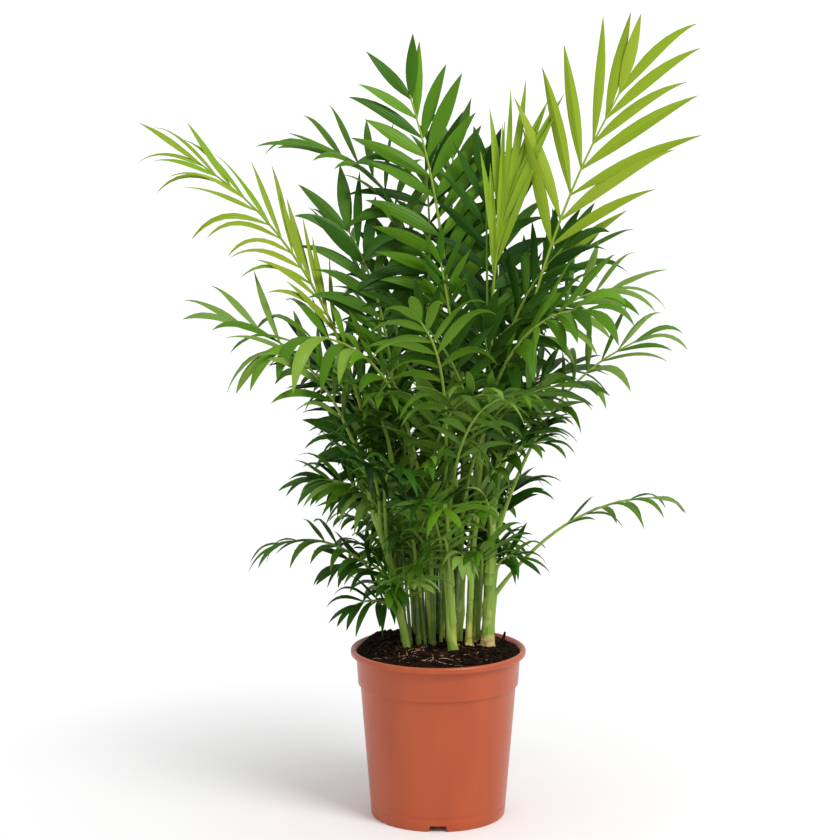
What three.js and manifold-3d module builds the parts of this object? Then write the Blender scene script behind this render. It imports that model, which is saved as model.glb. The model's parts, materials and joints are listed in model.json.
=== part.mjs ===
// A parlour palm in its nursery pot: a clump of thin green canes that rise from the soil of a
// round plastic pot, each with feather-shaped fronds that leave it by a sheath, rise and arch over.
// Millimetres, +Z up. The origin is the middle of the pot's flat underside, and -Y is the front.
import * as THREE from "three";
import { mergeVertices } from "three/addons/utils/BufferGeometryUtils.js";
import Module from "manifold-3d";

const wasm = await Module();
wasm.setup();
const { Manifold, Mesh: SolidMesh } = wasm;

// ---- Driving dimensions ------------------------------------------------------------------------
const GAP = 0.3; // clearance between touching pieces

const POT = {
  rimRadius: 85, // outside of the rolled lip
  height: 165,
  lip: 6, // how far the rolled lip hangs down
  bandRadius: 80, // top of the shoulder band under the lip
  bandLow: 130, // where the band steps in to the body
  bandStep: 2.2, // how far it steps in
  bodyRadius: 75.6, // top of the body
  footRadius: 65.4, // outside of the foot
  footWidth: 3.4,
  wall: 1.5,
  floorLow: 6.5, // underside of the raised floor
  hubRadius: 17, // middle foot, which the pot also stands on
  sides: 32,
};
// Drainage notches in the foot, the first of them turned to the front, and holes in the floor.
const NOTCH = { count: 4, wideTop: 15, wideFoot: 19, high: 6, turn: -90.5, deep: 14 };
const DRAIN = { count: 6, ring: 38, radius: 4, sides: 6 };
const SOIL = {
  edge: 160.5, // height at the wall
  crown: 167.5, // height in the middle
  reach: 79, // radius at which it is down to the edge's height
  rings: 3,
  clod: 0.9,
  clodWave: [0.31, 0.27],
};

const CANE = {
  sides: 6,
  segments: 4,
  sink: 1.5, // depth of its foot in the soil
  bow: [0.35, 0.5], // middle of its curve: share of the way out, and of the way up
  flare: 0.15, // how much thicker the foot is
  flareShare: 0.12,
};
const RIB = {
  sides: 3,
  segments: 6,
  sheath: 2.8, // radius where it leaves the cane
  petiole: 2.0, // radius above the sheath
  tip: 0.8,
  sheathShare: 0.12,
  gap: 0.7, // clear space between two ribs, or a rib and another cane
  turns: 36, // how often the direction is changed to find that space
  turnStep: 4, // degrees
  ballStep: 4, // distance between the balls that stand for a limb in that test
};
const LEAF = {
  widest: 0.4, // share of its length at which a leaflet is widest
  thick: 0.014, // thickness over length
  rooted: 0.6, // how far it starts behind the rib's axis
  last: 0.985, // share of the rib at which the last pair stands
  apart: 0.2, // how far the two sides are out of step, over the space between two pairs
  spare: 0.5, // clear space kept round a leaflet
  least: 0.7, // size of the smallest leaflet of a frond, next to the largest
  swell: [0.15, 0.75], // where the blade starts and ends on half a sine wave of leaflet sizes
  fan: 3, // how long leaflets keep to the open angle before they close towards the tip
};
// A leaflet that would touch another frond is lifted out of the blade's plane by these slopes and
// cut to these shares of its length, in turn, and is left out if none of them clears it.
const MENDS = [
  { lift: 0, share: 1 },
  { lift: 0.15, share: 1 },
  { lift: -0.15, share: 1 },
  { lift: 0.3, share: 1 },
  { lift: -0.3, share: 1 },
  { lift: 0.15, share: 0.75 },
  { lift: -0.15, share: 0.75 },
  { lift: 0, share: 0.55 },
];

const COLOURS = {
  pot: 0xb55f3c,
  soil: 0x2a1d15,
  cane: 0x7fa044,
  young: 0x9cc22f,
  fresh: 0x5d9a2a,
  green: 0x40791f,
  deep: 0x2a5a1a,
};
const ROUGHNESS = { pot: 0.5, soil: 0.95, plant: 0.55 };

// Canes. foot: where it stands on the soil. top: how far the tip lies from above the foot.
// high: height over the soil. low, tip: radius at the foot and at the tip.
const CANES = {
  a: { foot: [-31, 12], top: [-26, -6], high: 165, low: 3.6, tip: 2.6 },
  b: { foot: [-15, 20], top: [-26, 10], high: 235, low: 3.4, tip: 2.5 },
  c: { foot: [-6, 34], top: [-14, 24], high: 275, low: 3.4, tip: 2.5 },
  d: { foot: [5, 26], top: [12, 6], high: 260, low: 3.3, tip: 2.4 },
  e: { foot: [14, -22], top: [-8, -24], high: 165, low: 4.2, tip: 2.8 },
  f: { foot: [20, 15], top: [6, -12], high: 240, low: 3.2, tip: 2.4 },
  g: { foot: [29, 1], top: [10, -26], high: 210, low: 3.4, tip: 2.4 },
  h: { foot: [36, 20], top: [18, -4], high: 275, low: 3.9, tip: 2.7 },
  i: { foot: [48, 5], top: [6, -4], high: 190, low: 6.4, tip: 3.4 },
  j: { foot: [-19, 46], top: [-30, 34], high: 210, low: 3.2, tip: 2.4 },
  k: { foot: [10, 50], top: [2, 46], high: 250, low: 3.4, tip: 2.5 },
  l: { foot: [36, 42], top: [30, 34], high: 230, low: 3.3, tip: 2.5 },
  m: { foot: [-30, -10], top: [-30, -28], high: 140, low: 3.3, tip: 2.4 },
  n: { foot: [-6, 2], top: [-6, -24], high: 150, low: 3.4, tip: 2.4 },
};

// Fronds. Each leaves its cane at a share of the cane's height, turned to az degrees about the
// vertical (0 is +X, 90 the back), and veers from that by some degrees by its tip. It starts lean
// degrees from the vertical and bends over by some more, mostly in the last part where late is
// high. Its rib is long mm, and bare is the share of the rib below the blade. A side has pairs
// leaflets, fewer and wider than the real palm's, up to leaf mm long and wide mm wide. They stand
// open degrees off the rib and close to it at the tip, to close degrees. roll turns the blade about
// the rib, skew opens one side more than the other, lift raises both sides, and sag is how far a
// leaflet hangs, over its length.
const USUAL = {
  at: 0.9, az: 0, veer: 0, lean: 14, bend: 45, late: 1.6, long: 300, bare: 0.42, pairs: 7, leaf: 92,
  wide: 19, open: 54, close: 14, skew: 0, roll: 0, lift: 8, sag: 0.28, tone: "green",
};
const FRONDS = {
  top_right: { cane: "i", at: 0.97, az: 2, lean: 9.5, bend: 18, long: 374, bare: 0.5, pairs: 8,
    leaf: 132, wide: 21, open: 34, close: 10, skew: -3, roll: 84, lift: 0, sag: 0.18,
    tone: "young" },
  spear: { cane: "h", at: 0.98, az: 180, lean: 1.2, bend: -14, long: 175, bare: 0.5, pairs: 5,
    leaf: 138, wide: 13, open: 9, close: 7, skew: 3, roll: 76, lift: 0, sag: 0.05, tone: "young" },
  top_left: { cane: "d", at: 0.98, az: 180, lean: 2, bend: 14, long: 280, bare: 0.3, pairs: 8,
    leaf: 90, wide: 24, open: 50, close: 18, skew: 6, roll: -78, lift: 2, sag: 0.1, tone: "fresh" },
  far_left: { cane: "a", at: 0.97, az: 181, lean: 9.5, bend: 42, late: 1.7, long: 362, bare: 0.42,
    pairs: 9, leaf: 92, wide: 13, open: 23, close: 8, skew: 7, roll: -50, lift: 0, sag: 0.34,
    tone: "young" },
  back_left: { cane: "c", at: 0.97, az: 176, lean: -3, bend: 70, late: 2.4, long: 252, bare: 0.5,
    leaf: 88, wide: 16, open: 42, roll: -30, sag: 0.32 },
  dark_left: { cane: "b", at: 0.97, az: 176, lean: 3, bend: 24, long: 182, bare: 0.3, leaf: 88,
    wide: 22, open: 42, roll: -62, sag: 0.2, tone: "deep" },
  dark_middle: { cane: "c", at: 0.86, az: 180, lean: -7, bend: 12, late: 2, long: 225, bare: 0.4,
    leaf: 106, wide: 22, open: 60, close: 34, skew: 14, roll: -70, sag: 0.3 },
  dark_core: { cane: "k", at: 0.96, az: 84, lean: 1, bend: 12, long: 236, bare: 0.34, leaf: 84,
    wide: 23, open: 46, close: 16, sag: 0.2, tone: "deep" },
  mid_left: { cane: "m", at: 0.96, az: 176, lean: 12, bend: 54, late: 2, long: 235, leaf: 90,
    wide: 18, open: 46, roll: -25, sag: 0.24 },
  low_left: { cane: "n", at: 0.95, az: 190, lean: 9, bend: 98, late: 2.6, long: 250, bare: 0.52,
    leaf: 84, wide: 23, open: 60, roll: -20, sag: 0.6, tone: "fresh" },
  shade_left: { cane: "a", at: 0.55, az: 192, lean: 11, bend: 60, long: 104, bare: 0.26, pairs: 5,
    leaf: 62, wide: 16, roll: -35, sag: 0.34 },
  foot_left: { cane: "m", at: 0.28, az: 182, lean: 23, bend: 76, long: 142, bare: 0.34, leaf: 58,
    wide: 12, roll: -15, sag: 0.55, tone: "deep" },
  foot_right: { cane: "i", at: 0.28, az: -4, lean: 35, bend: 48, long: 188, bare: 0.52, pairs: 5,
    leaf: 56, wide: 14, open: 36, close: 8, roll: 10, lift: 0, sag: 0.5 },
  right: { cane: "i", at: 0.58, az: -6, lean: 17, bend: 42, late: 2, long: 240, bare: 0.48,
    leaf: 82, wide: 15, roll: 30, sag: 0.4 },
  right_upper: { cane: "h", at: 0.85, az: 4, lean: 18, bend: 58, long: 172, bare: 0.34, leaf: 78,
    wide: 16, roll: 40, sag: 0.3 },
  right_back: { cane: "l", at: 0.95, az: 35, lean: 10, bend: 46, long: 196, leaf: 80, roll: 20 },
  right_front: { cane: "g", at: 0.97, az: -42, lean: 10, bend: 70, long: 200, leaf: 82, wide: 22,
    roll: 42, sag: 0.45, tone: "fresh" },
  heart: { cane: "f", at: 0.98, az: 190, lean: 8, bend: 2, long: 140, bare: 0.5, pairs: 5, leaf: 52,
    wide: 12, open: 36, close: 14, roll: -80, sag: 0.05, tone: "fresh" },
  dark_right: { cane: "h", at: 0.94, az: -14, lean: 12, bend: 30, long: 146, bare: 0.3, leaf: 80,
    wide: 21, open: 42, roll: 50, sag: 0.24, tone: "deep" },
  right_low: { cane: "g", at: 0.64, az: -16, lean: 9, bend: 70, long: 104, bare: 0.36, leaf: 52,
    wide: 14, roll: 20, sag: 0.36 },
  front_fold: { cane: "n", at: 0.75, az: -110, veer: 30, lean: 7, bend: 66, long: 205, leaf: 76,
    wide: 20, roll: -30, sag: 0.5 },
  front_high: { cane: "e", at: 0.97, az: -82, veer: -35, lean: 4, bend: 46, long: 196, leaf: 78,
    wide: 20, roll: 30, sag: 0.5, lift: 0, tone: "fresh" },
  front_low: { cane: "e", at: 0.62, az: -95, lean: 12, bend: 80, long: 90, bare: 0.3, pairs: 4,
    leaf: 58, wide: 17, open: 66, close: 26, sag: 0.5, tone: "fresh" },
};

// Fill fronds, in tiers from the foot to the top, each turned round the clump by the golden angle
// and drawn from these ranges.
const TIERS = [
  { count: 7, pairs: 5, at: [0.16, 0.4], lean: [8, 20], bend: [50, 90], long: [76, 112],
    leaf: [38, 50], wide: [11, 14], roll: [-35, 35], veer: [-30, 30], bare: 0.3, sag: 0.45,
    tone: "green" },
  { count: 8, pairs: 6, at: [0.5, 0.82], lean: [7, 13], bend: [46, 76], long: [170, 216],
    leaf: [62, 76], wide: [15, 19], roll: [-50, 50], veer: [-50, 50], bare: 0.42, sag: 0.4,
    tone: "green" },
  { count: 6, pairs: 7, at: [0.86, 0.96], lean: [4, 10], bend: [34, 56], long: [215, 270],
    leaf: [74, 88], wide: [16, 20], roll: [-60, 60], veer: [-40, 40], bare: 0.38, sag: 0.34,
    tone: "deep" },
];
const FILL = {
  seed: 41,
  first: 70, // direction of the first, degrees
  golden: 137.5,
  shorter: 0.3, // share by which one that leaves to the left or right is shorter
  right: 0.3, // and by which one to the right is shorter still
  middle: [8, 14], // middle of the clump
  crowding: 26, // how much further out, mm, a cane has to stand to get one more frond
};

// ---- Small helpers -----------------------------------------------------------------------------
const rad = THREE.MathUtils.degToRad;
const lerp = THREE.MathUtils.lerp;
const vec = (x, y, z) => new THREE.Vector3(x, y, z);
const UP = vec(0, 0, 1);

// A seeded run of numbers from 0 to 1.
function seeded(seed) {
  let state = seed;
  return () => {
    state = (state * 1664525 + 1013904223) % 4294967296;
    return state / 4294967296;
  };
}

// A three.js geometry as a closed solid.
function solidOf(geometry) {
  const bare = geometry.clone();
  bare.deleteAttribute("normal");
  bare.deleteAttribute("uv");
  const merged = mergeVertices(bare, 1e-4);
  const vertProperties = merged.attributes.position.array;
  const triVerts = new Uint32Array(merged.index.array);
  const solid = new Manifold(new SolidMesh({ numProp: 3, vertProperties, triVerts }));
  if (solid.volume() >= 0) return solid;
  for (let i = 0; i < triVerts.length; i += 3) {
    [triVerts[i], triVerts[i + 1]] = [triVerts[i + 1], triVerts[i]];
  }
  return new Manifold(new SolidMesh({ numProp: 3, vertProperties, triVerts }));
}

// The largest closed body of a solid, with loose scraps and sealed hollows left out.
function mainBody(solid) {
  return solid.decompose().reduce((best, body) => (body.volume() > best.volume() ? body : best));
}

function meshOf(name, solid, colour, roughness = ROUGHNESS.plant) {
  const { vertProperties, triVerts, numProp } = solid.getMesh();
  const position = new THREE.BufferAttribute(new Float32Array(vertProperties), numProp);
  const geometry = new THREE.BufferGeometry().setAttribute("position", position);
  geometry.setIndex(new THREE.BufferAttribute(new Uint32Array(triVerts), 1));
  geometry.computeVertexNormals();
  const material = new THREE.MeshStandardMaterial({ color: colour, roughness, metalness: 0 });
  const mesh = new THREE.Mesh(geometry, material);
  mesh.name = name;
  return mesh;
}

// ---- Pot and soil ------------------------------------------------------------------------------
// A solid of revolution about Z from [radius, height] pairs.
function turned(profile, sides) {
  const points = profile.map(([r, z]) => new THREE.Vector2(r, z));
  return solidOf(new THREE.LatheGeometry(points, sides).rotateX(Math.PI / 2));
}

function potSolid() {
  const p = POT;
  const w = p.wall;
  const floorTop = p.floorLow + w;
  const lipLow = p.height - p.lip;
  const bandFoot = p.bodyRadius + p.bandStep;
  let pot = turned(
    [
      [0, 0],
      [p.hubRadius, 0],
      [p.hubRadius + w, p.floorLow],
      [p.footRadius - p.footWidth - w, p.floorLow],
      [p.footRadius - p.footWidth, 0],
      [p.footRadius - w / 2, 0],
      [p.footRadius, w],
      [p.bodyRadius, p.bandLow - w],
      [bandFoot, p.bandLow + w],
      [p.bandRadius, lipLow],
      [p.rimRadius - w, lipLow],
      [p.rimRadius, lipLow + w],
      [p.rimRadius, p.height - w],
      [p.rimRadius - w, p.height],
      [p.bandRadius + w, p.height],
      [p.bandRadius - w, p.height - 2 * w],
      [p.bandRadius - w, lipLow],
      [bandFoot - w, p.bandLow + w],
      [p.bodyRadius - w, p.bandLow - w],
      [p.footRadius - w, floorTop + w],
      [p.footRadius - 2 * w, floorTop],
      [0, floorTop],
    ],
    p.sides,
  );
  for (let i = 0; i < NOTCH.count; i++) {
    pot = pot.subtract(notchCutter(rad(NOTCH.turn + (360 / NOTCH.count) * i)));
  }
  const drill = new THREE.CylinderGeometry(DRAIN.radius, DRAIN.radius, 3 * w, DRAIN.sides);
  drill.rotateX(Math.PI / 2);
  for (let i = 0; i < DRAIN.count; i++) {
    const turn = ((i + 0.5) / DRAIN.count) * 2 * Math.PI;
    const [x, y] = [DRAIN.ring * Math.cos(turn), DRAIN.ring * Math.sin(turn)];
    pot = pot.subtract(solidOf(drill.clone().translate(x, y, p.floorLow + w / 2)));
  }
  return pot;
}

// A prism that cuts one drainage notch through the foot, wider at the ground.
function notchCutter(turn) {
  const outline = new THREE.Shape([
    new THREE.Vector2(-NOTCH.wideFoot / 2, -1),
    new THREE.Vector2(NOTCH.wideFoot / 2, -1),
    new THREE.Vector2(NOTCH.wideTop / 2, NOTCH.high),
    new THREE.Vector2(-NOTCH.wideTop / 2, NOTCH.high),
  ]);
  const prism = new THREE.ExtrudeGeometry(outline, { depth: NOTCH.deep, bevelEnabled: false });
  prism.rotateX(Math.PI / 2).translate(0, POT.footRadius + NOTCH.deep / 2, 0);
  return solidOf(prism.rotateZ(turn - Math.PI / 2));
}

// Height of the soil's surface without its clods: a low mound.
function soilHeight(x, y) {
  const out = Math.min(1, Math.hypot(x, y) / SOIL.reach);
  return lerp(SOIL.crown, SOIL.edge, out * out);
}

function soilSolid() {
  const side = POT.wall + GAP;
  const inner = POT.bandRadius - side;
  const low = POT.floorLow + side;
  const points = [
    [0, low],
    [POT.footRadius - side - POT.wall, low],
    [POT.footRadius - side, low + POT.wall],
    [POT.bodyRadius - side, POT.bandLow - POT.wall],
    [POT.bodyRadius + POT.bandStep - side - GAP, POT.bandLow + POT.wall + GAP],
    [inner - GAP, POT.height - POT.lip],
  ];
  for (let i = 0; i <= SOIL.rings; i++) {
    const r = ((inner - GAP) * (SOIL.rings - i)) / SOIL.rings;
    points.push([r, soilHeight(r, 0)]);
  }
  const profile = points.map(([r, z]) => new THREE.Vector2(r, z));
  const geometry = new THREE.LatheGeometry(profile, POT.sides).rotateX(Math.PI / 2);
  const position = geometry.attributes.position;
  for (let i = 0; i < position.count; i++) {
    const [x, y, z] = [position.getX(i), position.getY(i), position.getZ(i)];
    if (z < SOIL.edge || Math.hypot(x, y) > inner - SOIL.clod) continue;
    const wave = Math.sin(x * SOIL.clodWave[0]) * Math.cos(y * SOIL.clodWave[1]);
    position.setZ(i, z + SOIL.clod * wave);
  }
  return solidOf(geometry);
}

// ---- Limbs -------------------------------------------------------------------------------------
// A tapering limb: a cylinder bent along a run of stations, each with its point, two directions
// across the limb, and radius.
function limbSolid(stationAt, sides, segments) {
  const geometry = new THREE.CylinderGeometry(1, 1, 1, sides, segments);
  const position = geometry.attributes.position;
  for (let i = 0; i < position.count; i++) {
    const station = stationAt(position.getY(i) + 0.5);
    const point = station.point.clone();
    point.addScaledVector(station.across, position.getX(i) * station.radius);
    point.addScaledVector(station.normal, position.getZ(i) * station.radius);
    position.setXYZ(i, point.x, point.y, point.z);
  }
  return solidOf(geometry);
}

function caneCurve(cane) {
  const [x, y] = cane.foot;
  const [dx, dy] = cane.top;
  const z = soilHeight(x, y) - CANE.sink;
  return new THREE.QuadraticBezierCurve3(
    vec(x, y, z),
    vec(x + dx * CANE.bow[0], y + dy * CANE.bow[0], z + cane.high * CANE.bow[1]),
    vec(x + dx, y + dy, z + cane.high),
  );
}

function caneRadius(cane, t) {
  const flare = Math.max(0, 1 - t / CANE.flareShare);
  return lerp(cane.low, cane.tip, t) * (1 + CANE.flare * flare * flare);
}

// A cane with level rings, so that its foot is cut flat, or the space that it needs with a spare.
function caneSolid(cane, spare = 0) {
  const curve = caneCurve(cane);
  const stationAt = (t) => {
    const point = curve.getPoint(t);
    point.z += t <= 0 ? -spare : t >= 1 ? spare : 0;
    const radius = caneRadius(cane, t) + spare;
    return { point, across: vec(1, 0, 0), normal: vec(0, -1, 0), radius };
  };
  return limbSolid(stationAt, CANE.sides, CANE.segments);
}

// ---- Ribs --------------------------------------------------------------------------------------
// A frond's rib as stations. It starts at its cane's surface, on the side that it leaves to.
function ribStations(frond, turn) {
  const cane = CANES[frond.cane];
  const roll = rad(frond.roll);
  const point = caneCurve(cane).getPoint(frond.at);
  const stations = [];
  for (let i = 0; i <= RIB.segments; i++) {
    const s = i / RIB.segments;
    const az = rad(frond.az + turn + frond.veer * s);
    const out = vec(Math.cos(az), Math.sin(az), 0);
    const level = vec(-Math.sin(az), Math.cos(az), 0);
    const tilt = rad(frond.lean + frond.bend * s ** frond.late);
    const along = out.clone().multiplyScalar(Math.sin(tilt)).addScaledVector(UP, Math.cos(tilt));
    if (i === 0) point.addScaledVector(out, caneRadius(cane, frond.at));
    else point.addScaledVector(along, frond.long / RIB.segments);
    const face = vec(0, 0, 0).crossVectors(along, level);
    const across = level.clone().multiplyScalar(Math.cos(roll));
    across.addScaledVector(face, Math.sin(roll));
    const normal = face.clone().multiplyScalar(Math.cos(roll));
    normal.addScaledVector(level, -Math.sin(roll));
    stations.push({ point: point.clone(), along, across, normal, radius: ribRadius(s) });
  }
  return stations;
}

function ribRadius(s) {
  const sheath = Math.max(0, 1 - s / RIB.sheathShare);
  return lerp(RIB.petiole, RIB.tip, s) + (RIB.sheath - RIB.petiole) * sheath;
}

// The rib's place, directions and radius at share s of its length.
function ribAt(stations, s) {
  const x = Math.min(Math.max(s, 0), 1) * (stations.length - 1);
  const i = Math.min(Math.floor(x), stations.length - 2);
  const mix = (key) => stations[i][key].clone().lerp(stations[i + 1][key], x - i);
  return {
    point: mix("point"),
    along: mix("along").normalize(),
    across: mix("across").normalize(),
    normal: mix("normal").normalize(),
    radius: lerp(stations[i].radius, stations[i + 1].radius, x - i),
  };
}

// A limb as a row of balls, close enough together to measure how near another limb comes.
function ballsOf(pointAt, radiusAt, length) {
  const count = Math.ceil(length / RIB.ballStep);
  const balls = [];
  for (let i = 0; i <= count; i++) {
    balls.push({ point: pointAt(i / count), radius: radiusAt(i / count) });
  }
  return balls;
}

function ballsOfCane(cane) {
  const curve = caneCurve(cane);
  return ballsOf((t) => curve.getPoint(t), (t) => caneRadius(cane, t), cane.high);
}

function ballsOfRib(stations, frond) {
  return ballsOf((s) => ribAt(stations, s).point, ribRadius, frond.long);
}

function limbsClear(one, other) {
  return one.every((a) =>
    other.every((b) => a.point.distanceTo(b.point) > a.radius + b.radius + RIB.gap),
  );
}

// Turns a frond about its cane, a little more each time, until its rib is clear of the others.
function clearRib(frond, limbs) {
  const others = limbs.filter((limb) => limb.name !== `cane_${frond.cane}`);
  for (let i = 0; i <= RIB.turns; i++) {
    const turn = Math.ceil(i / 2) * RIB.turnStep * (i % 2 ? 1 : -1);
    const stations = ribStations(frond, turn);
    const balls = ballsOfRib(stations, frond);
    if (others.every((limb) => limbsClear(balls, limb.balls))) return { stations, balls };
  }
  return null;
}

// ---- Leaflets ----------------------------------------------------------------------------------
// Every leaflet of a frond: its foot on the rib, direction, normal, length, width and sag.
function leavesOf(frond, stations) {
  const leaves = [];
  for (let i = 0; i < frond.pairs; i++) {
    const u = i / (frond.pairs - 1);
    for (const side of [-1, 1]) {
      const back = side > 0 ? 0 : (LEAF.apart * u * (1 - u)) / (frond.pairs - 1);
      const rib = ribAt(stations, lerp(frond.bare, LEAF.last, u - back));
      const angle = rad(lerp(frond.open, frond.close, u ** LEAF.fan) + side * frond.skew);
      const lift = rad(frond.lift);
      const outward = rib.across.clone().multiplyScalar(side * Math.cos(lift));
      outward.addScaledVector(rib.normal, Math.sin(lift));
      const direction = rib.along.clone().multiplyScalar(Math.cos(angle));
      direction.addScaledVector(outward, Math.sin(angle)).normalize();
      const wave = Math.sin(Math.PI * (LEAF.swell[0] + LEAF.swell[1] * u));
      const size = lerp(LEAF.least, 1, wave);
      leaves.push({
        base: rib.point,
        direction,
        normal: rib.normal,
        length: frond.leaf * size,
        width: (frond.wide * (1 + size)) / 2,
        sag: frond.sag,
      });
    }
  }
  return leaves;
}

// One leaflet: an octahedron drawn out from the rib to the leaflet's tip.
function leafSolid(leaf, spare = 0) {
  const geometry = new THREE.OctahedronGeometry(1, 0);
  const position = geometry.attributes.position;
  const across = vec(0, 0, 0).crossVectors(leaf.normal, leaf.direction).normalize();
  const face = vec(0, 0, 0).crossVectors(leaf.direction, across).normalize();
  const half = leaf.width / 2 + spare;
  const depth = (leaf.length * LEAF.thick) / 2 + spare;
  for (let i = 0; i < position.count; i++) {
    const x = position.getX(i);
    const t = x > 0.5 ? 1 : x < -0.5 ? 0 : LEAF.widest;
    const along = x < -0.5 ? -LEAF.rooted : leaf.length * t + (x > 0.5 ? spare : 0);
    const point = leaf.base.clone().addScaledVector(leaf.direction, along);
    point.addScaledVector(UP, -leaf.length * leaf.sag * t * t);
    point.addScaledVector(across, position.getY(i) * half);
    point.addScaledVector(face, position.getZ(i) * depth);
    position.setXYZ(i, point.x, point.y, point.z);
  }
  return solidOf(geometry);
}

// ---- The fill of the crown ---------------------------------------------------------------------
function fillFronds() {
  const random = seeded(FILL.seed);
  const between = ([low, high]) => lerp(low, high, random());
  const uses = {};
  const list = [];
  for (const tier of TIERS) {
    for (let i = 0; i < tier.count; i++) {
      const az = ((list.length * FILL.golden + FILL.first + 180) % 360) - 180;
      const right = Math.cos(rad(az));
      const less = FILL.shorter * Math.abs(right) + FILL.right * Math.max(0, right);
      const cane = caneTowards(az, uses);
      uses[cane] = (uses[cane] || 0) + 1;
      const name = `fill_${String(list.length + 1).padStart(2, "0")}`;
      const drawn = {
        at: between(tier.at),
        lean: between(tier.lean),
        bend: between(tier.bend),
        long: between(tier.long) * (1 - less),
        leaf: between(tier.leaf),
        wide: between(tier.wide),
        roll: between(tier.roll),
        veer: between(tier.veer),
      };
      list.push([name, { ...tier, ...drawn, cane, az }]);
    }
  }
  return list;
}

// The cane that stands furthest out in a direction, less a step for each fill frond it has.
function caneTowards(az, uses) {
  const score = (name) => {
    const x = CANES[name].foot[0] - FILL.middle[0];
    const y = CANES[name].foot[1] - FILL.middle[1];
    const out = x * Math.cos(rad(az)) + y * Math.sin(rad(az));
    return out - FILL.crowding * (uses[name] || 0);
  };
  return Object.keys(CANES).reduce((best, name) => (score(name) > score(best) ? name : best));
}

// ---- Assembly ----------------------------------------------------------------------------------
const taken = []; // every solid that a later leaflet keeps clear of, with its node's name and box

function take(name, solid) {
  taken.push({ name, solid, box: solid.boundingBox() });
  return solid;
}

function boxesMeet(a, b) {
  return [0, 1, 2].every((k) => a.min[k] <= b.max[k] && b.min[k] <= a.max[k]);
}

function touchesOthers(candidate, name) {
  const box = candidate.boundingBox();
  return taken.some(
    (other) =>
      other.name !== name &&
      boxesMeet(box, other.box) &&
      candidate.intersect(other.solid).volume() > 0,
  );
}

// The leaflet as it is, or lifted or cut short until it clears the other fronds, or nothing.
function clearLeaf(leaf, name) {
  for (const mend of MENDS) {
    const direction = leaf.direction.clone().addScaledVector(leaf.normal, mend.lift).normalize();
    const bent = { ...leaf, direction, length: leaf.length * mend.share };
    if (!touchesOthers(leafSolid(bent, LEAF.spare), name)) return leafSolid(bent);
  }
  return null;
}

const palm = new THREE.Group();
palm.name = "parlour_palm";
palm.add(meshOf("pot", take("pot", potSolid()), COLOURS.pot, ROUGHNESS.pot));

let soil = soilSolid();
for (const cane of Object.values(CANES)) soil = soil.subtract(caneSolid(cane, GAP));
palm.add(meshOf("soil", take("soil", mainBody(soil)), COLOURS.soil, ROUGHNESS.soil));

const limbs = []; // canes and ribs as rows of balls
for (const [name, cane] of Object.entries(CANES)) {
  const node = `cane_${name}`;
  limbs.push({ name: node, balls: ballsOfCane(cane) });
  palm.add(meshOf(node, take(node, caneSolid(cane)), COLOURS.cane));
}

// The ribs come first, so that every leaflet can keep clear of every rib.
const fronds = [];
for (const [name, own] of [...Object.entries(FRONDS), ...fillFronds()]) {
  const frond = { ...USUAL, ...own, node: `frond_${name}` };
  const found = clearRib(frond, limbs);
  if (!found) continue;
  limbs.push({ name: frond.node, balls: found.balls });
  const whole = limbSolid((s) => ribAt(found.stations, s), RIB.sides, RIB.segments);
  const rib = mainBody(whole.subtract(caneSolid(CANES[frond.cane], GAP)));
  fronds.push({ ...frond, stations: found.stations, rib: take(frond.node, rib) });
}

for (const frond of fronds) {
  const parts = [frond.rib];
  for (const leaf of leavesOf(frond, frond.stations)) {
    const solid = clearLeaf(leaf, frond.node);
    if (solid) parts.push(take(frond.node, solid));
  }
  palm.add(meshOf(frond.node, mainBody(Manifold.union(parts)), COLOURS[frond.tone]));
}

export default palm;
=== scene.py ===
# %% [markdown]
# # A parlour palm in its nursery pot
#
# The palm is a clump of thin green canes in a 17 cm plastic pot. Each cane carries feather-shaped
# fronds: a rib, and two rows of narrow leaflets. The CAD frame already holds the pot, the soil,
# the canes and every frond at their real size, but with few and plain faces. This script keeps
# their places and builds the surfaces that are seen: a rounded pot, crumbly soil, canes with
# their rings and sheaths, and leaflets that are folded, bent and pointed like the real ones.

# %% Frame
import json
import math
import random
from types import SimpleNamespace as Sizes

import bmesh
import bpy
import numpy as np
from mathutils import Matrix, Vector, noise

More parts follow.
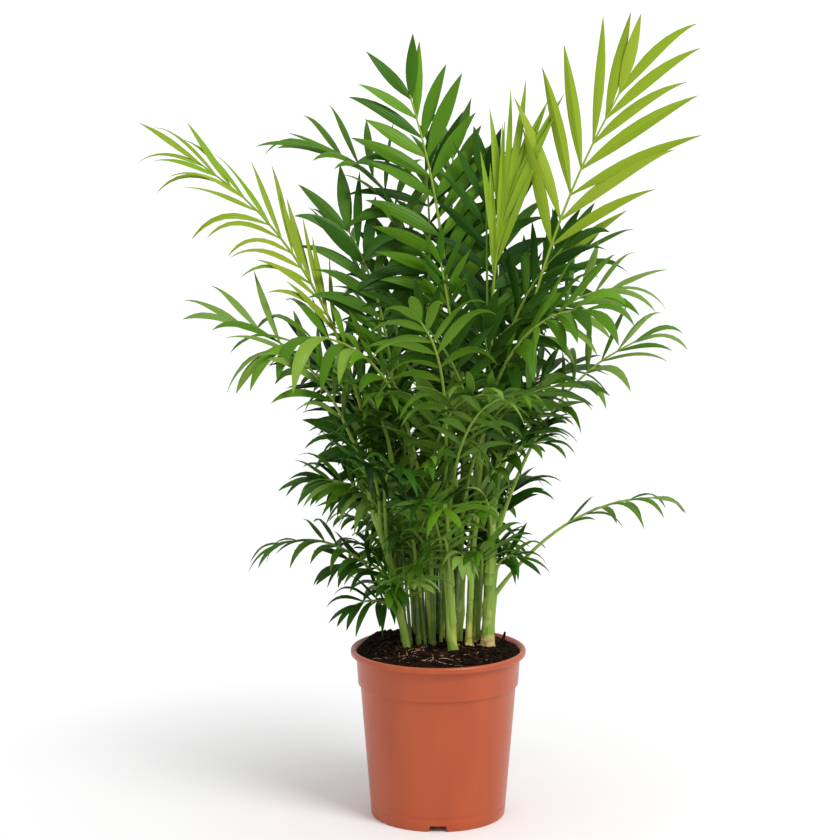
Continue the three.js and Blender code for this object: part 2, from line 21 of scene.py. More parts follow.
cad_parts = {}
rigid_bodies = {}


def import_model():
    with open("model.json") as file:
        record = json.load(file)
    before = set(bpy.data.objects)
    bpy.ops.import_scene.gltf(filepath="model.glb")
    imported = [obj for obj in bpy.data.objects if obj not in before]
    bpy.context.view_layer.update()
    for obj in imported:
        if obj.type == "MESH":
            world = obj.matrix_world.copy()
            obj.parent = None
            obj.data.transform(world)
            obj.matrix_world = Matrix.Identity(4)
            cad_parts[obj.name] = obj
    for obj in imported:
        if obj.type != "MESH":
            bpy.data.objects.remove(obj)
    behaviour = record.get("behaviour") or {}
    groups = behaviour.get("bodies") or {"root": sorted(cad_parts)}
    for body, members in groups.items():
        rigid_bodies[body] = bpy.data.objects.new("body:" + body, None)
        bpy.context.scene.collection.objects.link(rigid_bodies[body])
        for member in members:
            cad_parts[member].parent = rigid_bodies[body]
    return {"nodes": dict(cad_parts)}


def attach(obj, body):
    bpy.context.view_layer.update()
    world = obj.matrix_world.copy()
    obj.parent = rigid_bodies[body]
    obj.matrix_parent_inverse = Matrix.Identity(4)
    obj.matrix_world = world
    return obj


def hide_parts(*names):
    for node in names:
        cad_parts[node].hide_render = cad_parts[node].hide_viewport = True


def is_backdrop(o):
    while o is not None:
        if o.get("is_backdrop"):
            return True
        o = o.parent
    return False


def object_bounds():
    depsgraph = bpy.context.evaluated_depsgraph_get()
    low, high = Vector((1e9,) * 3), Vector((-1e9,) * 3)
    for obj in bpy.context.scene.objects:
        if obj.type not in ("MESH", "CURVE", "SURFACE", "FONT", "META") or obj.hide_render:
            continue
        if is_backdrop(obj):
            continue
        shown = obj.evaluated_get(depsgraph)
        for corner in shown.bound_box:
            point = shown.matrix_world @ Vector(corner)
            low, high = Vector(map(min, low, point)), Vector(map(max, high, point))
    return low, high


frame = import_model()
cad_low, cad_high = (Vector(corner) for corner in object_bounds())
print("the CAD box:", [round(v, 3) for v in (*cad_low, *cad_high)], len(frame["nodes"]), "nodes")

# %% [markdown]
# ## Camera, light and floor
#
# A long lens stands two metres in front of the plant, a little above the crown's middle, and looks
# slightly down, so that the soil shows over the rim. A large lamp at the right of the camera gives
# the soft shadow behind the pot at the left, and a white world fills everything else, as the white
# walls of a small photo studio do. The floor is nearly white and joins the world without a line.

# %% Camera and lights
MM = 0.001  # the lengths below are in millimetres, as the CAD's are, and Blender's are metres
UP = Vector((0, 0, 1))

CAMERA = Sizes(place=(-17.7, -2150, 693), down=8.08, lens=97.2)  # mm, degrees, mm
LAMP = Sizes(place=(1300, -1500, 2300), aim=(0, 0, 350), size=1000, power=50)
WORLD = Sizes(seen=1.1, light=0.71)  # brightness of the white that the camera sees, and that lights


def lerp(a, b, t):
    return (1 - t) * a + t * b


def link(obj):
    bpy.context.scene.collection.objects.link(obj)
    return obj


camera = link(bpy.data.objects.new("camera", bpy.data.cameras.new("camera")))
camera.location = Vector(CAMERA.place) * MM
camera.rotation_euler = (math.radians(90 - CAMERA.down), 0, 0)
camera.data.lens = CAMERA.lens
bpy.context.scene.camera = camera

lamp = link(bpy.data.objects.new("lamp", bpy.data.lights.new("lamp", "AREA")))
lamp.location = Vector(LAMP.place) * MM
aim = Vector(LAMP.aim) - Vector(LAMP.place)
lamp.rotation_euler = aim.to_track_quat("-Z", "Y").to_euler()
lamp.data.size = LAMP.size * MM
lamp.data.energy = LAMP.power
print("lamp to plant:", round(aim.length), "mm")


# %% A short way to write node trees
def node(tree, kind, inputs=None, **settings):
    """Adds a shader node. Each of its inputs gets a value, or a link from another socket."""
    made = tree.nodes.new("ShaderNode" + kind)
    for name, value in settings.items():
        setattr(made, name, value)
    for name, value in (inputs or {}).items():
        if isinstance(value, bpy.types.NodeSocket):
            tree.links.new(value, made.inputs[name])
        else:
            made.inputs[name].default_value = value
    return made


# %% The white world
world = bpy.data.worlds.new("studio")
world.use_nodes = True
background = world.node_tree.nodes["Background"]
background.inputs["Color"].default_value = (1, 1, 1, 1)
seen = node(world.node_tree, "LightPath").outputs["Is Camera Ray"]
limits = {"To Min": WORLD.light, "To Max": WORLD.seen}
glow = node(world.node_tree, "MapRange", {"Value": seen, **limits})
world.node_tree.links.new(glow.outputs["Result"], background.inputs["Strength"])
bpy.context.scene.world = world
bpy.context.scene.view_settings.view_transform = "Standard"
print("world: seen at", WORLD.seen, "and lights at", WORLD.light)

# %% [markdown]
# ## Materials
#
# Two effects come back in several materials, so each is a node group with named inputs: `mottle`,
# a soft patchiness that breaks up a flat colour, and `veins`, the fine lines that run along a
# palm leaflet. The groups put out values only, and the Principled shader stays in each material.


# %% The mottle group
def new_group(name, inputs, outputs):
    """An empty group, its input sockets and its output node. An input with no value is a vector."""
    group = bpy.data.node_groups.new(name, "ShaderNodeTree")
    for label, value in inputs.items():
        kind = "NodeSocketVector" if value is None else "NodeSocketFloat"
        socket = group.interface.new_socket(label, in_out="INPUT", socket_type=kind)
        if value is not None:
            socket.default_value = value
    for label in outputs:
        group.interface.new_socket(label, in_out="OUTPUT", socket_type="NodeSocketFloat")
    source = group.nodes.new("NodeGroupInput")
    return group, source.outputs, group.nodes.new("NodeGroupOutput")


sizes = {"Vector": None, "Coarse": 30.0, "Fine": 400.0}
mottle, given, result = new_group("mottle", sizes, ["Patches", "Grain"])
for label, size in (("Patches", "Coarse"), ("Grain", "Fine")):
    cloud = node(mottle, "TexNoise", {"Vector": given["Vector"], "Scale": given[size]})
    mottle.links.new(cloud.outputs["Fac"], result.inputs[label])
print("group:", mottle.name)

# %% The veins group
# U runs across a leaflet and V along it, so stripes of U are lines along the leaflet.
veins, given, result = new_group("veins", {"UV": None, "Count": 9.0}, ["Height"])
across = node(veins, "SeparateXYZ", {"Vector": given["UV"]}).outputs["X"]
turns = node(veins, "Math", {0: across, 1: given["Count"]}, operation="MULTIPLY").outputs[0]
wave = node(veins, "Math", {0: turns, 1: 1.0}, operation="PINGPONG").outputs[0]
veins.links.new(wave, result.inputs["Height"])
print("group:", veins.name)


# %% A material with plain values
def colour(red, green, blue):
    """A linear colour from screen values between 0 and 255."""
    share = [v / 255 for v in (red, green, blue)]
    return [v / 12.92 if v <= 0.04045 else ((v + 0.055) / 1.055) ** 2.4 for v in share] + [1]


def plain_material(name, base, roughness, **more):
    made = bpy.data.materials.new(name)
    made.use_nodes = True
    shader = made.node_tree.nodes["Principled BSDF"]
    shader.inputs["Base Color"].default_value = base
    shader.inputs["Roughness"].default_value = roughness
    for label, value in more.items():
        shader.inputs[label.replace("_", " ")].default_value = value
    return made, made.node_tree, shader


# %% Patterns for a material
def mixed(tree, mask, first, second):
    """A colour between two, or from one that is linked already, by a mask."""
    return node(tree, "Mix", {0: mask, 6: first, 7: second}, data_type="RGBA").outputs[2]


def ranged(tree, value, low, high, to_low=0.0, to_high=1.0):
    """Stretches a value so that low..high becomes to_low..to_high, held at both ends."""
    limits = {"From Min": low, "From Max": high, "To Min": to_low, "To Max": to_high}
    return node(tree, "MapRange", {"Value": value, **limits}).outputs["Result"]


def bumped(tree, shader, height, strength, distance):
    bump = node(tree, "Bump", {"Height": height, "Strength": strength, "Distance": distance})
    tree.links.new(bump.outputs["Normal"], shader.inputs["Normal"])


def place_of(tree):
    return node(tree, "TexCoord").outputs["Object"]


# %% A material in two patchy colours
def mottled(tree, coarse, fine, place=None):
    """The patches and the grain of the mottle group, in the object's own coordinates."""
    place = place_of(tree) if place is None else place
    sizes = {"Vector": place, "Coarse": coarse, "Fine": fine}
    made = node(tree, "Group", sizes, node_tree=mottle)
    return made.outputs["Patches"], made.outputs["Grain"]


def patchy_material(name, light, dark, roughness, sizes, patch, relief, **more):
    """A grainy material in soft patches of two colours. patch and relief hold two values each."""
    made, tree, shader = plain_material(name, colour(*light), roughness, **more)
    patches, grain = mottled(tree, *sizes)
    tone = mixed(tree, ranged(tree, patches, *patch), colour(*light), colour(*dark))
    tree.links.new(tone, shader.inputs["Base Color"])
    bumped(tree, shader, grain, *relief)
    return made


print("ready:", ", ".join(made.__name__ for made in (plain_material, patchy_material)))

# %% [markdown]
# ## Pieces
#
# Every piece is a bmesh that becomes one object at the origin, with its place in its vertices.
# Edges that turn sharply stay sharp and the rest shade smoothly, as one rule for all pieces.

# %% From a bmesh to a piece
SHARP_ANGLE = math.radians(38)


def with_uvs():
    """A new bmesh whose faces get a UV map."""
    bm = bmesh.new()
    bm.loops.layers.uv.new("UVMap")
    return bm


def mesh_of(name, bm):
    mesh = bpy.data.meshes.new(name)
    bm.to_mesh(mesh)
    bm.free()
    return mesh


def finished(name, bm, materials, replaced=()):
    """Makes a bmesh an object that rides on the pot, and hides the CAD nodes it stands for."""
    for edge in bm.edges:
        edge.smooth = edge.calc_face_angle(0) < SHARP_ANGLE
    for face in bm.faces:
        face.smooth = True
    mesh = mesh_of(name, bm)
    for material in materials:
        mesh.materials.append(material)
    piece = link(bpy.data.objects.new(name, mesh))
    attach(piece, "root")
    if replaced:
        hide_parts(*replaced)
    mesh.calc_loop_triangles()
    print(name, len(mesh.loop_triangles), "triangles")
    return piece


def outward(bm):
    """Turns the faces of a closed bmesh outwards, whichever way they were made."""
    bmesh.ops.recalc_face_normals(bm, faces=bm.faces[:])
    if bm.calc_volume(signed=True) < 0:
        bmesh.ops.reverse_faces(bm, faces=bm.faces[:])


# %% [markdown]
# ## The pot
#
# The real pot is injection moulded in one piece: a rolled lip, a shoulder band, a step, and a body
# that tapers to a foot ring with drainage notches. A turned part like this is a profile that is
# spun about Z. Its ring edges are then bevelled, because moulded plastic has no sharp corner.

# %% Pot sizes
POT = Sizes(
    rim=85, height=165, lip=6, band_top=80, band_low=130, step=2.2, ledge=0.4, body_top=75.6,
    foot=65.4, foot_width=3.4, wall=1.5, floor=6.5, hub=17, rounding=0.7, lip_round=2.2, turns=120,
)
BODY_ROWS = (40, 70, 100)  # heights between the foot and the band that get a ring of edges
GROOVE = Sizes(height=12, deep=0.35, rows=(-4, -0.6, 0, 0.6, 4))  # the faint ring round the foot
NOTCH = Sizes(count=4, top=15, foot=19, high=6, turn=-90.5, deep=14)
DRAIN = Sizes(count=6, ring=38, radius=4, sides=24)


def arc(radius, height, size, start, end, steps=5):
    """Points of an arc about (radius, height), from one angle to another in degrees."""
    turns = [math.radians(lerp(start, end, i / steps)) for i in range(steps + 1)]
    return [(radius + size * math.cos(a), height + size * math.sin(a)) for a in turns]


def body_radius(height):
    low, high = POT.wall, POT.band_low - POT.wall
    return lerp(POT.foot, POT.body_top, (height - low) / (high - low))


print("body:", 2 * POT.foot, "mm over its foot,", 2 * POT.body_top, "mm under the band")


# %% The pot's section
def pot_profile():
    """The wall's section from the middle of the underside to the middle of the floor."""
    foot, hub, wall, floor, ledge = POT.foot, POT.hub, POT.wall, POT.floor, POT.ledge
    band, top, low, high = POT.band_top, POT.body_top, POT.band_low, POT.height
    inner, rolled = POT.foot_width, POT.lip_round
    lip_low = high - POT.lip
    band_foot = top + POT.step
    groove = [(body_radius(GROOVE.height + dz), GROOVE.height + dz) for dz in GROOVE.rows]
    groove[2] = (groove[2][0] - GROOVE.deep, groove[2][1])
    outside = [
        (0, 0), (hub, 0), (hub + wall, floor), (foot - inner - wall, floor), (foot - inner, 0),
        (foot - wall / 2, 0), (foot, wall), *groove, *((body_radius(z), z) for z in BODY_ROWS),
        (top, low - ledge), (band_foot, low + ledge), (band - ledge, lip_low - ledge),
    ]
    lip = arc(POT.rim - wall, lip_low + wall, wall, -90, 0)
    lip += arc(POT.rim - rolled, high - rolled, rolled, 0, 90)
    inside = [
        (band + wall, high), (band - wall, high - 2 * wall), (band_foot - wall, low + wall),
        (top - wall, low - wall), (foot - wall, floor + 2 * wall),
        (foot - 2 * wall, floor + wall), (0, floor + wall),
    ]
    return outside + lip + inside


print("pot:", 2 * POT.rim, "mm over the rim,", POT.height, "mm high")


# %% Spin and bevel
def spun(profile, turns):
    """A closed solid of revolution about Z from (radius, height) pairs in millimetres."""
    bm = bmesh.new()
    verts = [bm.verts.new((r * MM, 0, z * MM)) for r, z in profile]
    edges = [bm.edges.new(pair) for pair in zip(verts, verts[1:])]
    bmesh.ops.spin(
        bm, geom=verts + edges, cent=(0, 0, 0), axis=(0, 0, 1), angle=2 * math.pi, steps=turns,
        use_merge=True,
    )
    bmesh.ops.remove_doubles(bm, verts=bm.verts[:], dist=1e-6)
    outward(bm)
    return bm


def bevel_rings(bm, radius):
    """Rounds every ring edge that turns more than the sharp angle."""
    rings = [e for e in bm.edges if e.calc_face_angle(0) > SHARP_ANGLE]
    bmesh.ops.bevel(
        bm, geom=rings, offset=radius * MM, segments=3, profile=0.5, affect="EDGES",
        clamp_overlap=True, material=-1,
    )


# %% Cut the notches and drain holes
def cutter(name, bm):
    outward(bm)
    return link(bpy.data.objects.new(name, mesh_of(name, bm)))


def notch_cutters():
    """Four prisms through the foot ring, wider at the ground."""
    bm = bmesh.new()
    for i in range(NOTCH.count):
        turn = Matrix.Rotation(math.radians(NOTCH.turn + 360 / NOTCH.count * i), 4, "Z")
        for vert in bmesh.ops.create_cube(bm, size=1)["verts"]:
            wide, z = (NOTCH.foot, -1) if vert.co.z < 0 else (NOTCH.top, NOTCH.high)
            x = POT.foot + vert.co.x * NOTCH.deep
            vert.co = turn @ (Vector((x, vert.co.y * wide, z)) * MM)
    return cutter("notch_cutters", bm)


def drain_cutters():
    """Round drills through the raised floor."""
    bm = bmesh.new()
    radius = DRAIN.radius * MM
    for i in range(DRAIN.count):
        turn = (i + 0.5) / DRAIN.count * 2 * math.pi
        middle = Vector((math.cos(turn), math.sin(turn), 0)) * DRAIN.ring
        middle.z = POT.floor + POT.wall / 2
        bmesh.ops.create_cone(
            bm, cap_ends=True, segments=DRAIN.sides, radius1=radius, radius2=radius,
            depth=4 * POT.wall * MM, matrix=Matrix.Translation(middle * MM),
        )
    return cutter("drain_cutters", bm)


# %% Cut for good
def carved(piece, tools):
    """Cuts each tool out of a piece for good, and removes the tools."""
    for tool in tools:
        cut = piece.modifiers.new(tool.name, "BOOLEAN")
        cut.operation = "DIFFERENCE"
        cut.object = tool
        cut.solver = "EXACT"
    graph = bpy.context.evaluated_depsgraph_get()
    mesh = bpy.data.meshes.new_from_object(piece.evaluated_get(graph))
    piece.modifiers.clear()
    piece.data = mesh
    for tool in tools:
        bpy.data.objects.remove(tool)
    print(piece.name, "after cutting:", len(mesh.polygons), "faces")


# %% Terracotta-coloured plastic
# The colour is in the plastic, so it barely changes: cloudy patches that run up the wall, as the
# plastic flowed in the mould, a fine grain in the gloss, and a paler top of the lip, partly scuffs
# and partly a painted highlight where the rolled lip faces up to the light.
TERRACOTTA, CLOUD, SCUFF_AND_HIGHLIGHT = colour(178, 76, 30), colour(171, 71, 27), colour(198, 110, 72)
LIP_SCUFF_AND_HIGHLIGHT = Sizes(deep=1.8, share=0.55)  # how far down from the rim the scuffs and the painted highlight reach, and how pale
pot_plastic, tree, shader = plain_material("pot_plastic", TERRACOTTA, 0.42)
place = place_of(tree)
flow = node(tree, "Mapping", {"Vector": place, "Scale": (1, 1, 0.22)}).outputs["Vector"]
patches, grain = mottled(tree, 30.0, 900.0, flow)
height_of = node(tree, "SeparateXYZ", {"Vector": place}).outputs["Z"]
skin = mixed(tree, ranged(tree, patches, 0.42, 0.62), TERRACOTTA, CLOUD)
lip_from, lip_to = (POT.height - LIP_SCUFF_AND_HIGHLIGHT.deep) * MM, POT.height * MM
# a paler top of the lip: scuffs, and a painted highlight on the upward face of the rolled lip
skin = mixed(tree, ranged(tree, height_of, lip_from, lip_to, 0.0, LIP_SCUFF_AND_HIGHLIGHT.share), skin, SCUFF_AND_HIGHLIGHT)
tree.links.new(skin, shader.inputs["Base Color"])
tree.links.new(ranged(tree, grain, 0.3, 0.7, 0.28, 0.4), shader.inputs["Roughness"])
bumped(tree, shader, grain, 0.12, 0.0003)
print("material:", pot_plastic.name)

# %% Make the pot
bm = spun(pot_profile(), POT.turns)
bevel_rings(bm, POT.rounding)
pot = finished("pot_wall", bm, [pot_plastic], ["pot"])
carved(pot, [notch_cutters(), drain_cutters()])

# %% [markdown]
# ## The growth rule
#
# The palm's shape is a rule, not a sculpture, and the CAD model holds the same one. Canes are bent
# curves that stand in the soil. A frond leaves its cane at a share of its height, in a compass
# direction, starts some degrees off the vertical and bends over by some more. The tables are in
# millimetres and degrees, and the same numbers give the same ribs, so that each frond of fine
# leaflets lands where its CAD solid is.

# %% Canes
SOIL = Sizes(edge=160.5, crown=167.5, reach=79)
CANE = Sizes(sink=1.5, bow=(0.35, 0.5), flare=0.15, flare_share=0.12)
CANES = dict(
    a=dict(foot=(-31, 12), top=(-26, -6), high=165, low=3.6, tip=2.6),
    b=dict(foot=(-15, 20), top=(-26, 10), high=235, low=3.4, tip=2.5),
    c=dict(foot=(-6, 34), top=(-14, 24), high=275, low=3.4, tip=2.5),
    d=dict(foot=(5, 26), top=(12, 6), high=260, low=3.3, tip=2.4),
    e=dict(foot=(14, -22), top=(-8, -24), high=165, low=4.2, tip=2.8),
    f=dict(foot=(20, 15), top=(6, -12), high=240, low=3.2, tip=2.4),
    g=dict(foot=(29, 1), top=(10, -26), high=210, low=3.4, tip=2.4),
    h=dict(foot=(36, 20), top=(18, -4), high=275, low=3.9, tip=2.7),
    i=dict(foot=(48, 5), top=(6, -4), high=190, low=6.4, tip=3.4),
    j=dict(foot=(-19, 46), top=(-30, 34), high=210, low=3.2, tip=2.4),
    k=dict(foot=(10, 50), top=(2, 46), high=250, low=3.4, tip=2.5),
    l=dict(foot=(36, 42), top=(30, 34), high=230, low=3.3, tip=2.5),
    m=dict(foot=(-30, -10), top=(-30, -28), high=140, low=3.3, tip=2.4),
    n=dict(foot=(-6, 2), top=(-6, -24), high=150, low=3.4, tip=2.4),
)


# %% The middle line of a cane
def soil_height(x, y):
    out = min(1, math.hypot(x, y) / SOIL.reach)
    return lerp(SOIL.crown, SOIL.edge, out * out)


def cane_point(cane, t):
    """The cane's middle line, a quadratic curve, at share t of it."""
    x, y = cane["foot"]
    dx, dy = cane["top"]
    z = soil_height(x, y) - CANE.sink
    out, high = CANE.bow
    low = Vector((x, y, z))
    middle = Vector((x + dx * out, y + dy * out, z + cane["high"] * high))
    tip = Vector((x + dx, y + dy, z + cane["high"]))
    return low * (1 - t) ** 2 + middle * (2 * (1 - t) * t) + tip * t**2


def cane_radius(cane, t):
    flare = max(0, 1 - t / CANE.flare_share)
    return lerp(cane["low"], cane["tip"], t) * (1 + CANE.flare * flare**3)


print(len(CANES), "canes, the highest", max(cane["high"] for cane in CANES.values()), "mm")

# %% Fronds
# `at` is the share of its cane where a frond leaves it and `az` its compass direction. `lean`,
# `bend` and `late` curve the rib, `open` to `close` are the leaflets' angles to it, and `sag` is
# their droop. `real` gives the pairs of leaflets where they are known, and `shade` the green.
USUAL = dict(
    at=0.9, az=0, veer=0, lean=14, bend=45, late=1.6, long=300, bare=0.42, pairs=7, leaf=92,
    wide=19, open=54, close=14, skew=0, roll=0, lift=8, sag=0.28, tone="green",
)
FRONDS = dict(
    top_right=dict(
        cane="i", at=0.97, az=2, lean=9.5, bend=18, long=374, bare=0.5, pairs=8, leaf=132, wide=21,
        open=34, close=10, skew=-3, roll=84, lift=0, sag=0.18, tone="young", real=8, shade=1,
    ),
    spear=dict(
        cane="h", at=0.98, az=180, lean=1.2, bend=-14, long=175, bare=0.5, pairs=5, leaf=138,
        wide=13, open=9, close=7, skew=3, roll=76, lift=0, sag=0.05, tone="young", real=8, shade=0,
    ),
    top_left=dict(
        cane="d", at=0.98, az=180, lean=2, bend=14, long=280, bare=0.3, pairs=8, leaf=90, wide=24,
        open=50, close=18, skew=6, roll=-78, lift=2, sag=0.1, tone="fresh", real=11, shade=1,
    ),
    far_left=dict(
        cane="a", at=0.97, az=181, lean=9.5, bend=42, late=1.7, long=362, bare=0.42, pairs=9,
        leaf=92, wide=13, open=23, close=8, skew=7, roll=-50, lift=0, sag=0.34, tone="young",
        real=13, shade=1,
    ),
    back_left=dict(
        cane="c", at=0.97, az=176, lean=-3, bend=70, late=2.4, long=252, bare=0.5, leaf=88, wide=16,
        open=42, roll=-30, sag=0.32,
    ),
    dark_left=dict(
        cane="b", at=0.97, az=176, lean=3, bend=24, long=182, bare=0.3, leaf=88, wide=22, open=42,
        roll=-62, sag=0.2, tone="deep", shade=3,
    ),
    dark_middle=dict(
        cane="c", at=0.86, az=180, lean=-7, bend=12, late=2, long=225, bare=0.4, leaf=106, wide=22,
        open=60, close=34, skew=14, roll=-70, sag=0.3, real=9,
    ),
    dark_core=dict(
        cane="k", at=0.96, az=84, lean=1, bend=12, long=236, bare=0.34, leaf=84, wide=23, open=46,
        close=16, sag=0.2, tone="deep", real=9,
    ),
    mid_left=dict(
        cane="m", at=0.96, az=176, lean=12, bend=54, late=2, long=235, leaf=90, wide=18, open=46,
        roll=-25, sag=0.24, real=8, shade=3,
    ),
    low_left=dict(
        cane="n", at=0.95, az=190, lean=9, bend=98, late=2.6, long=250, bare=0.52, leaf=84, wide=23,
        open=60, roll=-20, sag=0.6, tone="fresh", real=8, shade=2,
    ),
    shade_left=dict(
        cane="a", at=0.55, az=192, lean=11, bend=60, long=104, bare=0.26, pairs=5, leaf=62, wide=16,
        roll=-35, sag=0.34,
    ),
    foot_left=dict(
        cane="m", at=0.28, az=182, lean=23, bend=76, long=142, bare=0.34, leaf=58, wide=12,
        roll=-15, sag=0.55, tone="deep", shade=3,
    ),
    foot_right=dict(
        cane="i", at=0.28, az=-4, lean=35, bend=48, long=188, bare=0.52, pairs=5, leaf=56, wide=14,
        open=36, close=8, roll=10, lift=0, sag=0.5, real=5, shade=2,
    ),
    right=dict(
        cane="i", at=0.58, az=-6, lean=17, bend=42, late=2, long=240, bare=0.48, leaf=82, wide=15,
        roll=30, sag=0.4, real=8, shade=3,
    ),
    right_upper=dict(
        cane="h", at=0.85, az=4, lean=18, bend=58, long=172, bare=0.34, leaf=78, wide=16, roll=40,
        sag=0.3, shade=3,
    ),
    right_back=dict(cane="l", at=0.95, az=35, lean=10, bend=46, long=196, leaf=80, roll=20),
    right_front=dict(
        cane="g", at=0.97, az=-42, lean=10, bend=70, long=200, leaf=82, wide=22, roll=42, sag=0.45,
        tone="fresh",
    ),
    heart=dict(
        cane="f", at=0.98, az=190, lean=8, bend=2, long=140, bare=0.5, pairs=5, leaf=52, wide=12,
        open=36, close=14, roll=-80, sag=0.05, tone="fresh",
    ),
    dark_right=dict(
        cane="h", at=0.94, az=-14, lean=12, bend=30, long=146, bare=0.3, leaf=80, wide=21, open=42,
        roll=50, sag=0.24, tone="deep",
    ),
    right_low=dict(
        cane="g", at=0.64, az=-16, lean=9, bend=70, long=104, bare=0.36, leaf=52, wide=14, roll=20,
        sag=0.36,
    ),
    front_fold=dict(
        cane="n", at=0.75, az=-110, veer=30, lean=7, bend=66, long=205, leaf=76, wide=20, roll=-30,
        sag=0.5,
    ),
    front_high=dict(
        cane="e", at=0.97, az=-82, veer=-35, lean=4, bend=46, long=196, leaf=78, wide=20, roll=30,
        sag=0.5, lift=0, tone="fresh", shade=1,
    ),
    front_low=dict(
        cane="e", at=0.62, az=-95, lean=12, bend=80, long=90, bare=0.3, pairs=4, leaf=58, wide=17,
        open=66, close=26, sag=0.5, tone="fresh", shade=2,
    ),
)
print(len(FRONDS), "named fronds, the longest", max(f["long"] for f in FRONDS.values()), "mm")

# %% Fill fronds
# The rest of the crown is dealt out by a seeded rule, in tiers from the foot to the top, each frond
# turned by the golden angle from the last, as leaves on a stem are.
TIERS = [
    dict(
        count=7, pairs=5, at=(0.16, 0.4), lean=(8, 20), bend=(50, 90), long=(76, 112),
        leaf=(38, 50), wide=(11, 14), roll=(-35, 35), veer=(-30, 30), bare=0.3, sag=0.45,
        tone="green",
    ),
    dict(
        count=8, pairs=6, at=(0.5, 0.82), lean=(7, 13), bend=(46, 76), long=(170, 216),
        leaf=(62, 76), wide=(15, 19), roll=(-50, 50), veer=(-50, 50), bare=0.42, sag=0.4,
        tone="green",
    ),
    dict(
        count=6, pairs=7, at=(0.86, 0.96), lean=(4, 10), bend=(34, 56), long=(215, 270),
        leaf=(74, 88), wide=(16, 20), roll=(-60, 60), veer=(-40, 40), bare=0.38, sag=0.34,
        tone="deep",
    ),
]
FILL = Sizes(
    seed=41, first=70, golden=137.5, shorter=0.3, right=0.3, middle=(8, 14), crowding=26
)
DRAWN = ("at", "lean", "bend", "long", "leaf", "wide", "roll", "veer")  # a tier gives their ranges
LCG = Sizes(times=1664525, plus=1013904223, size=2**32)  # the generator that the CAD model uses


# %% Deal out the fill fronds
def seeded(seed):
    """The CAD model's own run of numbers from 0 to 1."""
    state = seed
    while True:
        state = (state * LCG.times + LCG.plus) % LCG.size
        yield state / LCG.size


def cane_towards(az, uses):
    """The cane that stands furthest out in a direction, less a step for each frond it has."""
    turn = math.radians(az)

    def score(name):
        x, y = (foot - middle for foot, middle in zip(CANES[name]["foot"], FILL.middle))
        return x * math.cos(turn) + y * math.sin(turn) - FILL.crowding * uses.get(name, 0)

    return max(CANES, key=score)


def fill_fronds(tiers, label, seed):
    run = seeded(seed)
    uses, made = {}, {}
    order = [tier for tier in tiers for _ in range(tier["count"])]
    for i, tier in enumerate(order):
        az = (i * FILL.golden + FILL.first + 180) % 360 - 180
        if "az" in tier:
            az = lerp(*tier["az"], next(run))
        cane = cane_towards(az, uses)
        uses[cane] = uses.get(cane, 0) + 1
        drawn = {key: lerp(*tier[key], next(run)) for key in DRAWN}
        right = math.cos(math.radians(az))
        drawn["long"] *= 1 - FILL.shorter * abs(right) - FILL.right * max(0, right)
        low, high = tier.get("open_front", (0, 0))
        if right < tier.get("rightmost", 2) and not low < az < high:
            made[f"{label}_{i + 1:02d}"] = {**tier, **drawn, "cane": cane, "az": az}
    return made


fill = fill_fronds(TIERS, "fill", FILL.seed)
print(len(fill), "fill fronds dealt out")

# %% Ribs
# A rib is walked in equal steps, each a little further over. A frond whose rib would touch another
# limb is turned about its cane, a few degrees more each time, until it is clear.
RIB = Sizes(
    segments=6, sheath=2.8, petiole=2.0, tip=0.8, sheath_share=0.12, gap=0.7, turns=36,
    turn_step=4, ball_step=4,
)


def rib_radius(s):
    sheath = max(0, 1 - s / RIB.sheath_share)
    return lerp(RIB.petiole, RIB.tip, s) + (RIB.sheath - RIB.petiole) * sheath


def rib_stations(frond, turn):
    """Points along the rib, each with the directions along, across and out of the blade."""
    cane = CANES[frond["cane"]]
    roll = math.radians(frond["roll"])
    point = cane_point(cane, frond["at"])
    stations = []
    for i in range(RIB.segments + 1):
        s = i / RIB.segments
        az = math.radians(frond["az"] + turn + frond["veer"] * s)
        out = Vector((math.cos(az), math.sin(az), 0))
        level = Vector((-math.sin(az), math.cos(az), 0))
        tilt = math.radians(frond["lean"] + frond["bend"] * s ** frond["late"])
        along = out * math.sin(tilt) + UP * math.cos(tilt)
        step = along * (frond["long"] / RIB.segments)
        point = point + (step if i else out * cane_radius(cane, frond["at"]))
        face = along.cross(level)
        across = level * math.cos(roll) + face * math.sin(roll)
        normal = face * math.cos(roll) - level * math.sin(roll)
        stations.append((point.copy(), along, across, normal))
    return stations


# %% Room between the limbs
# A limb is tested as a row of balls, which is quick and close enough for thin round shapes.
def balls(points, radii):
    return np.column_stack([np.array(points), radii])


def ball_shares(length):
    count = math.ceil(length / RIB.ball_step)
    return [i / count for i in range(count + 1)]


def cane_balls(cane):
    shares = ball_shares(cane["high"])
    return balls([cane_point(cane, t) for t in shares], [cane_radius(cane, t) for t in shares])


def rib_balls(stations, frond):
    shares = ball_shares(frond["long"])
    points = []
    for s in shares:
        x = s * RIB.segments
        i = min(int(x), RIB.segments - 1)
        points.append(stations[i][0].lerp(stations[i + 1][0], x - i))
    return balls(points, [rib_radius(s) for s in shares])


def clear(one, others):
    gaps = np.linalg.norm(one[:, None, :3] - others[None, :, :3], axis=2)
    return bool((gaps > one[:, None, 3] + others[None, :, 3] + RIB.gap).all())


def clear_rib(frond, limbs):
    others = np.vstack([b for name, b in limbs if name != "cane_" + frond["cane"]])
    for i in range(RIB.turns + 1):
        turn = math.ceil(i / 2) * RIB.turn_step * (1 if i % 2 else -1)
        stations = rib_stations(frond, turn)
        own = rib_balls(stations, frond)
        if clear(own, others):
            return stations, own
    return None, None


# %% Grow the fronds
limbs = [("cane_" + name, cane_balls(cane)) for name, cane in CANES.items()]


def grown(entries):
    """The fronds that find room, with their ribs."""
    found = []
    for name, own in entries.items():
        frond = {**USUAL, **own, "name": name}
        frond["stations"], own_balls = clear_rib(frond, limbs)
        if frond["stations"]:
            limbs.append(("frond_" + name, own_balls))
            found.append(frond)
    return found


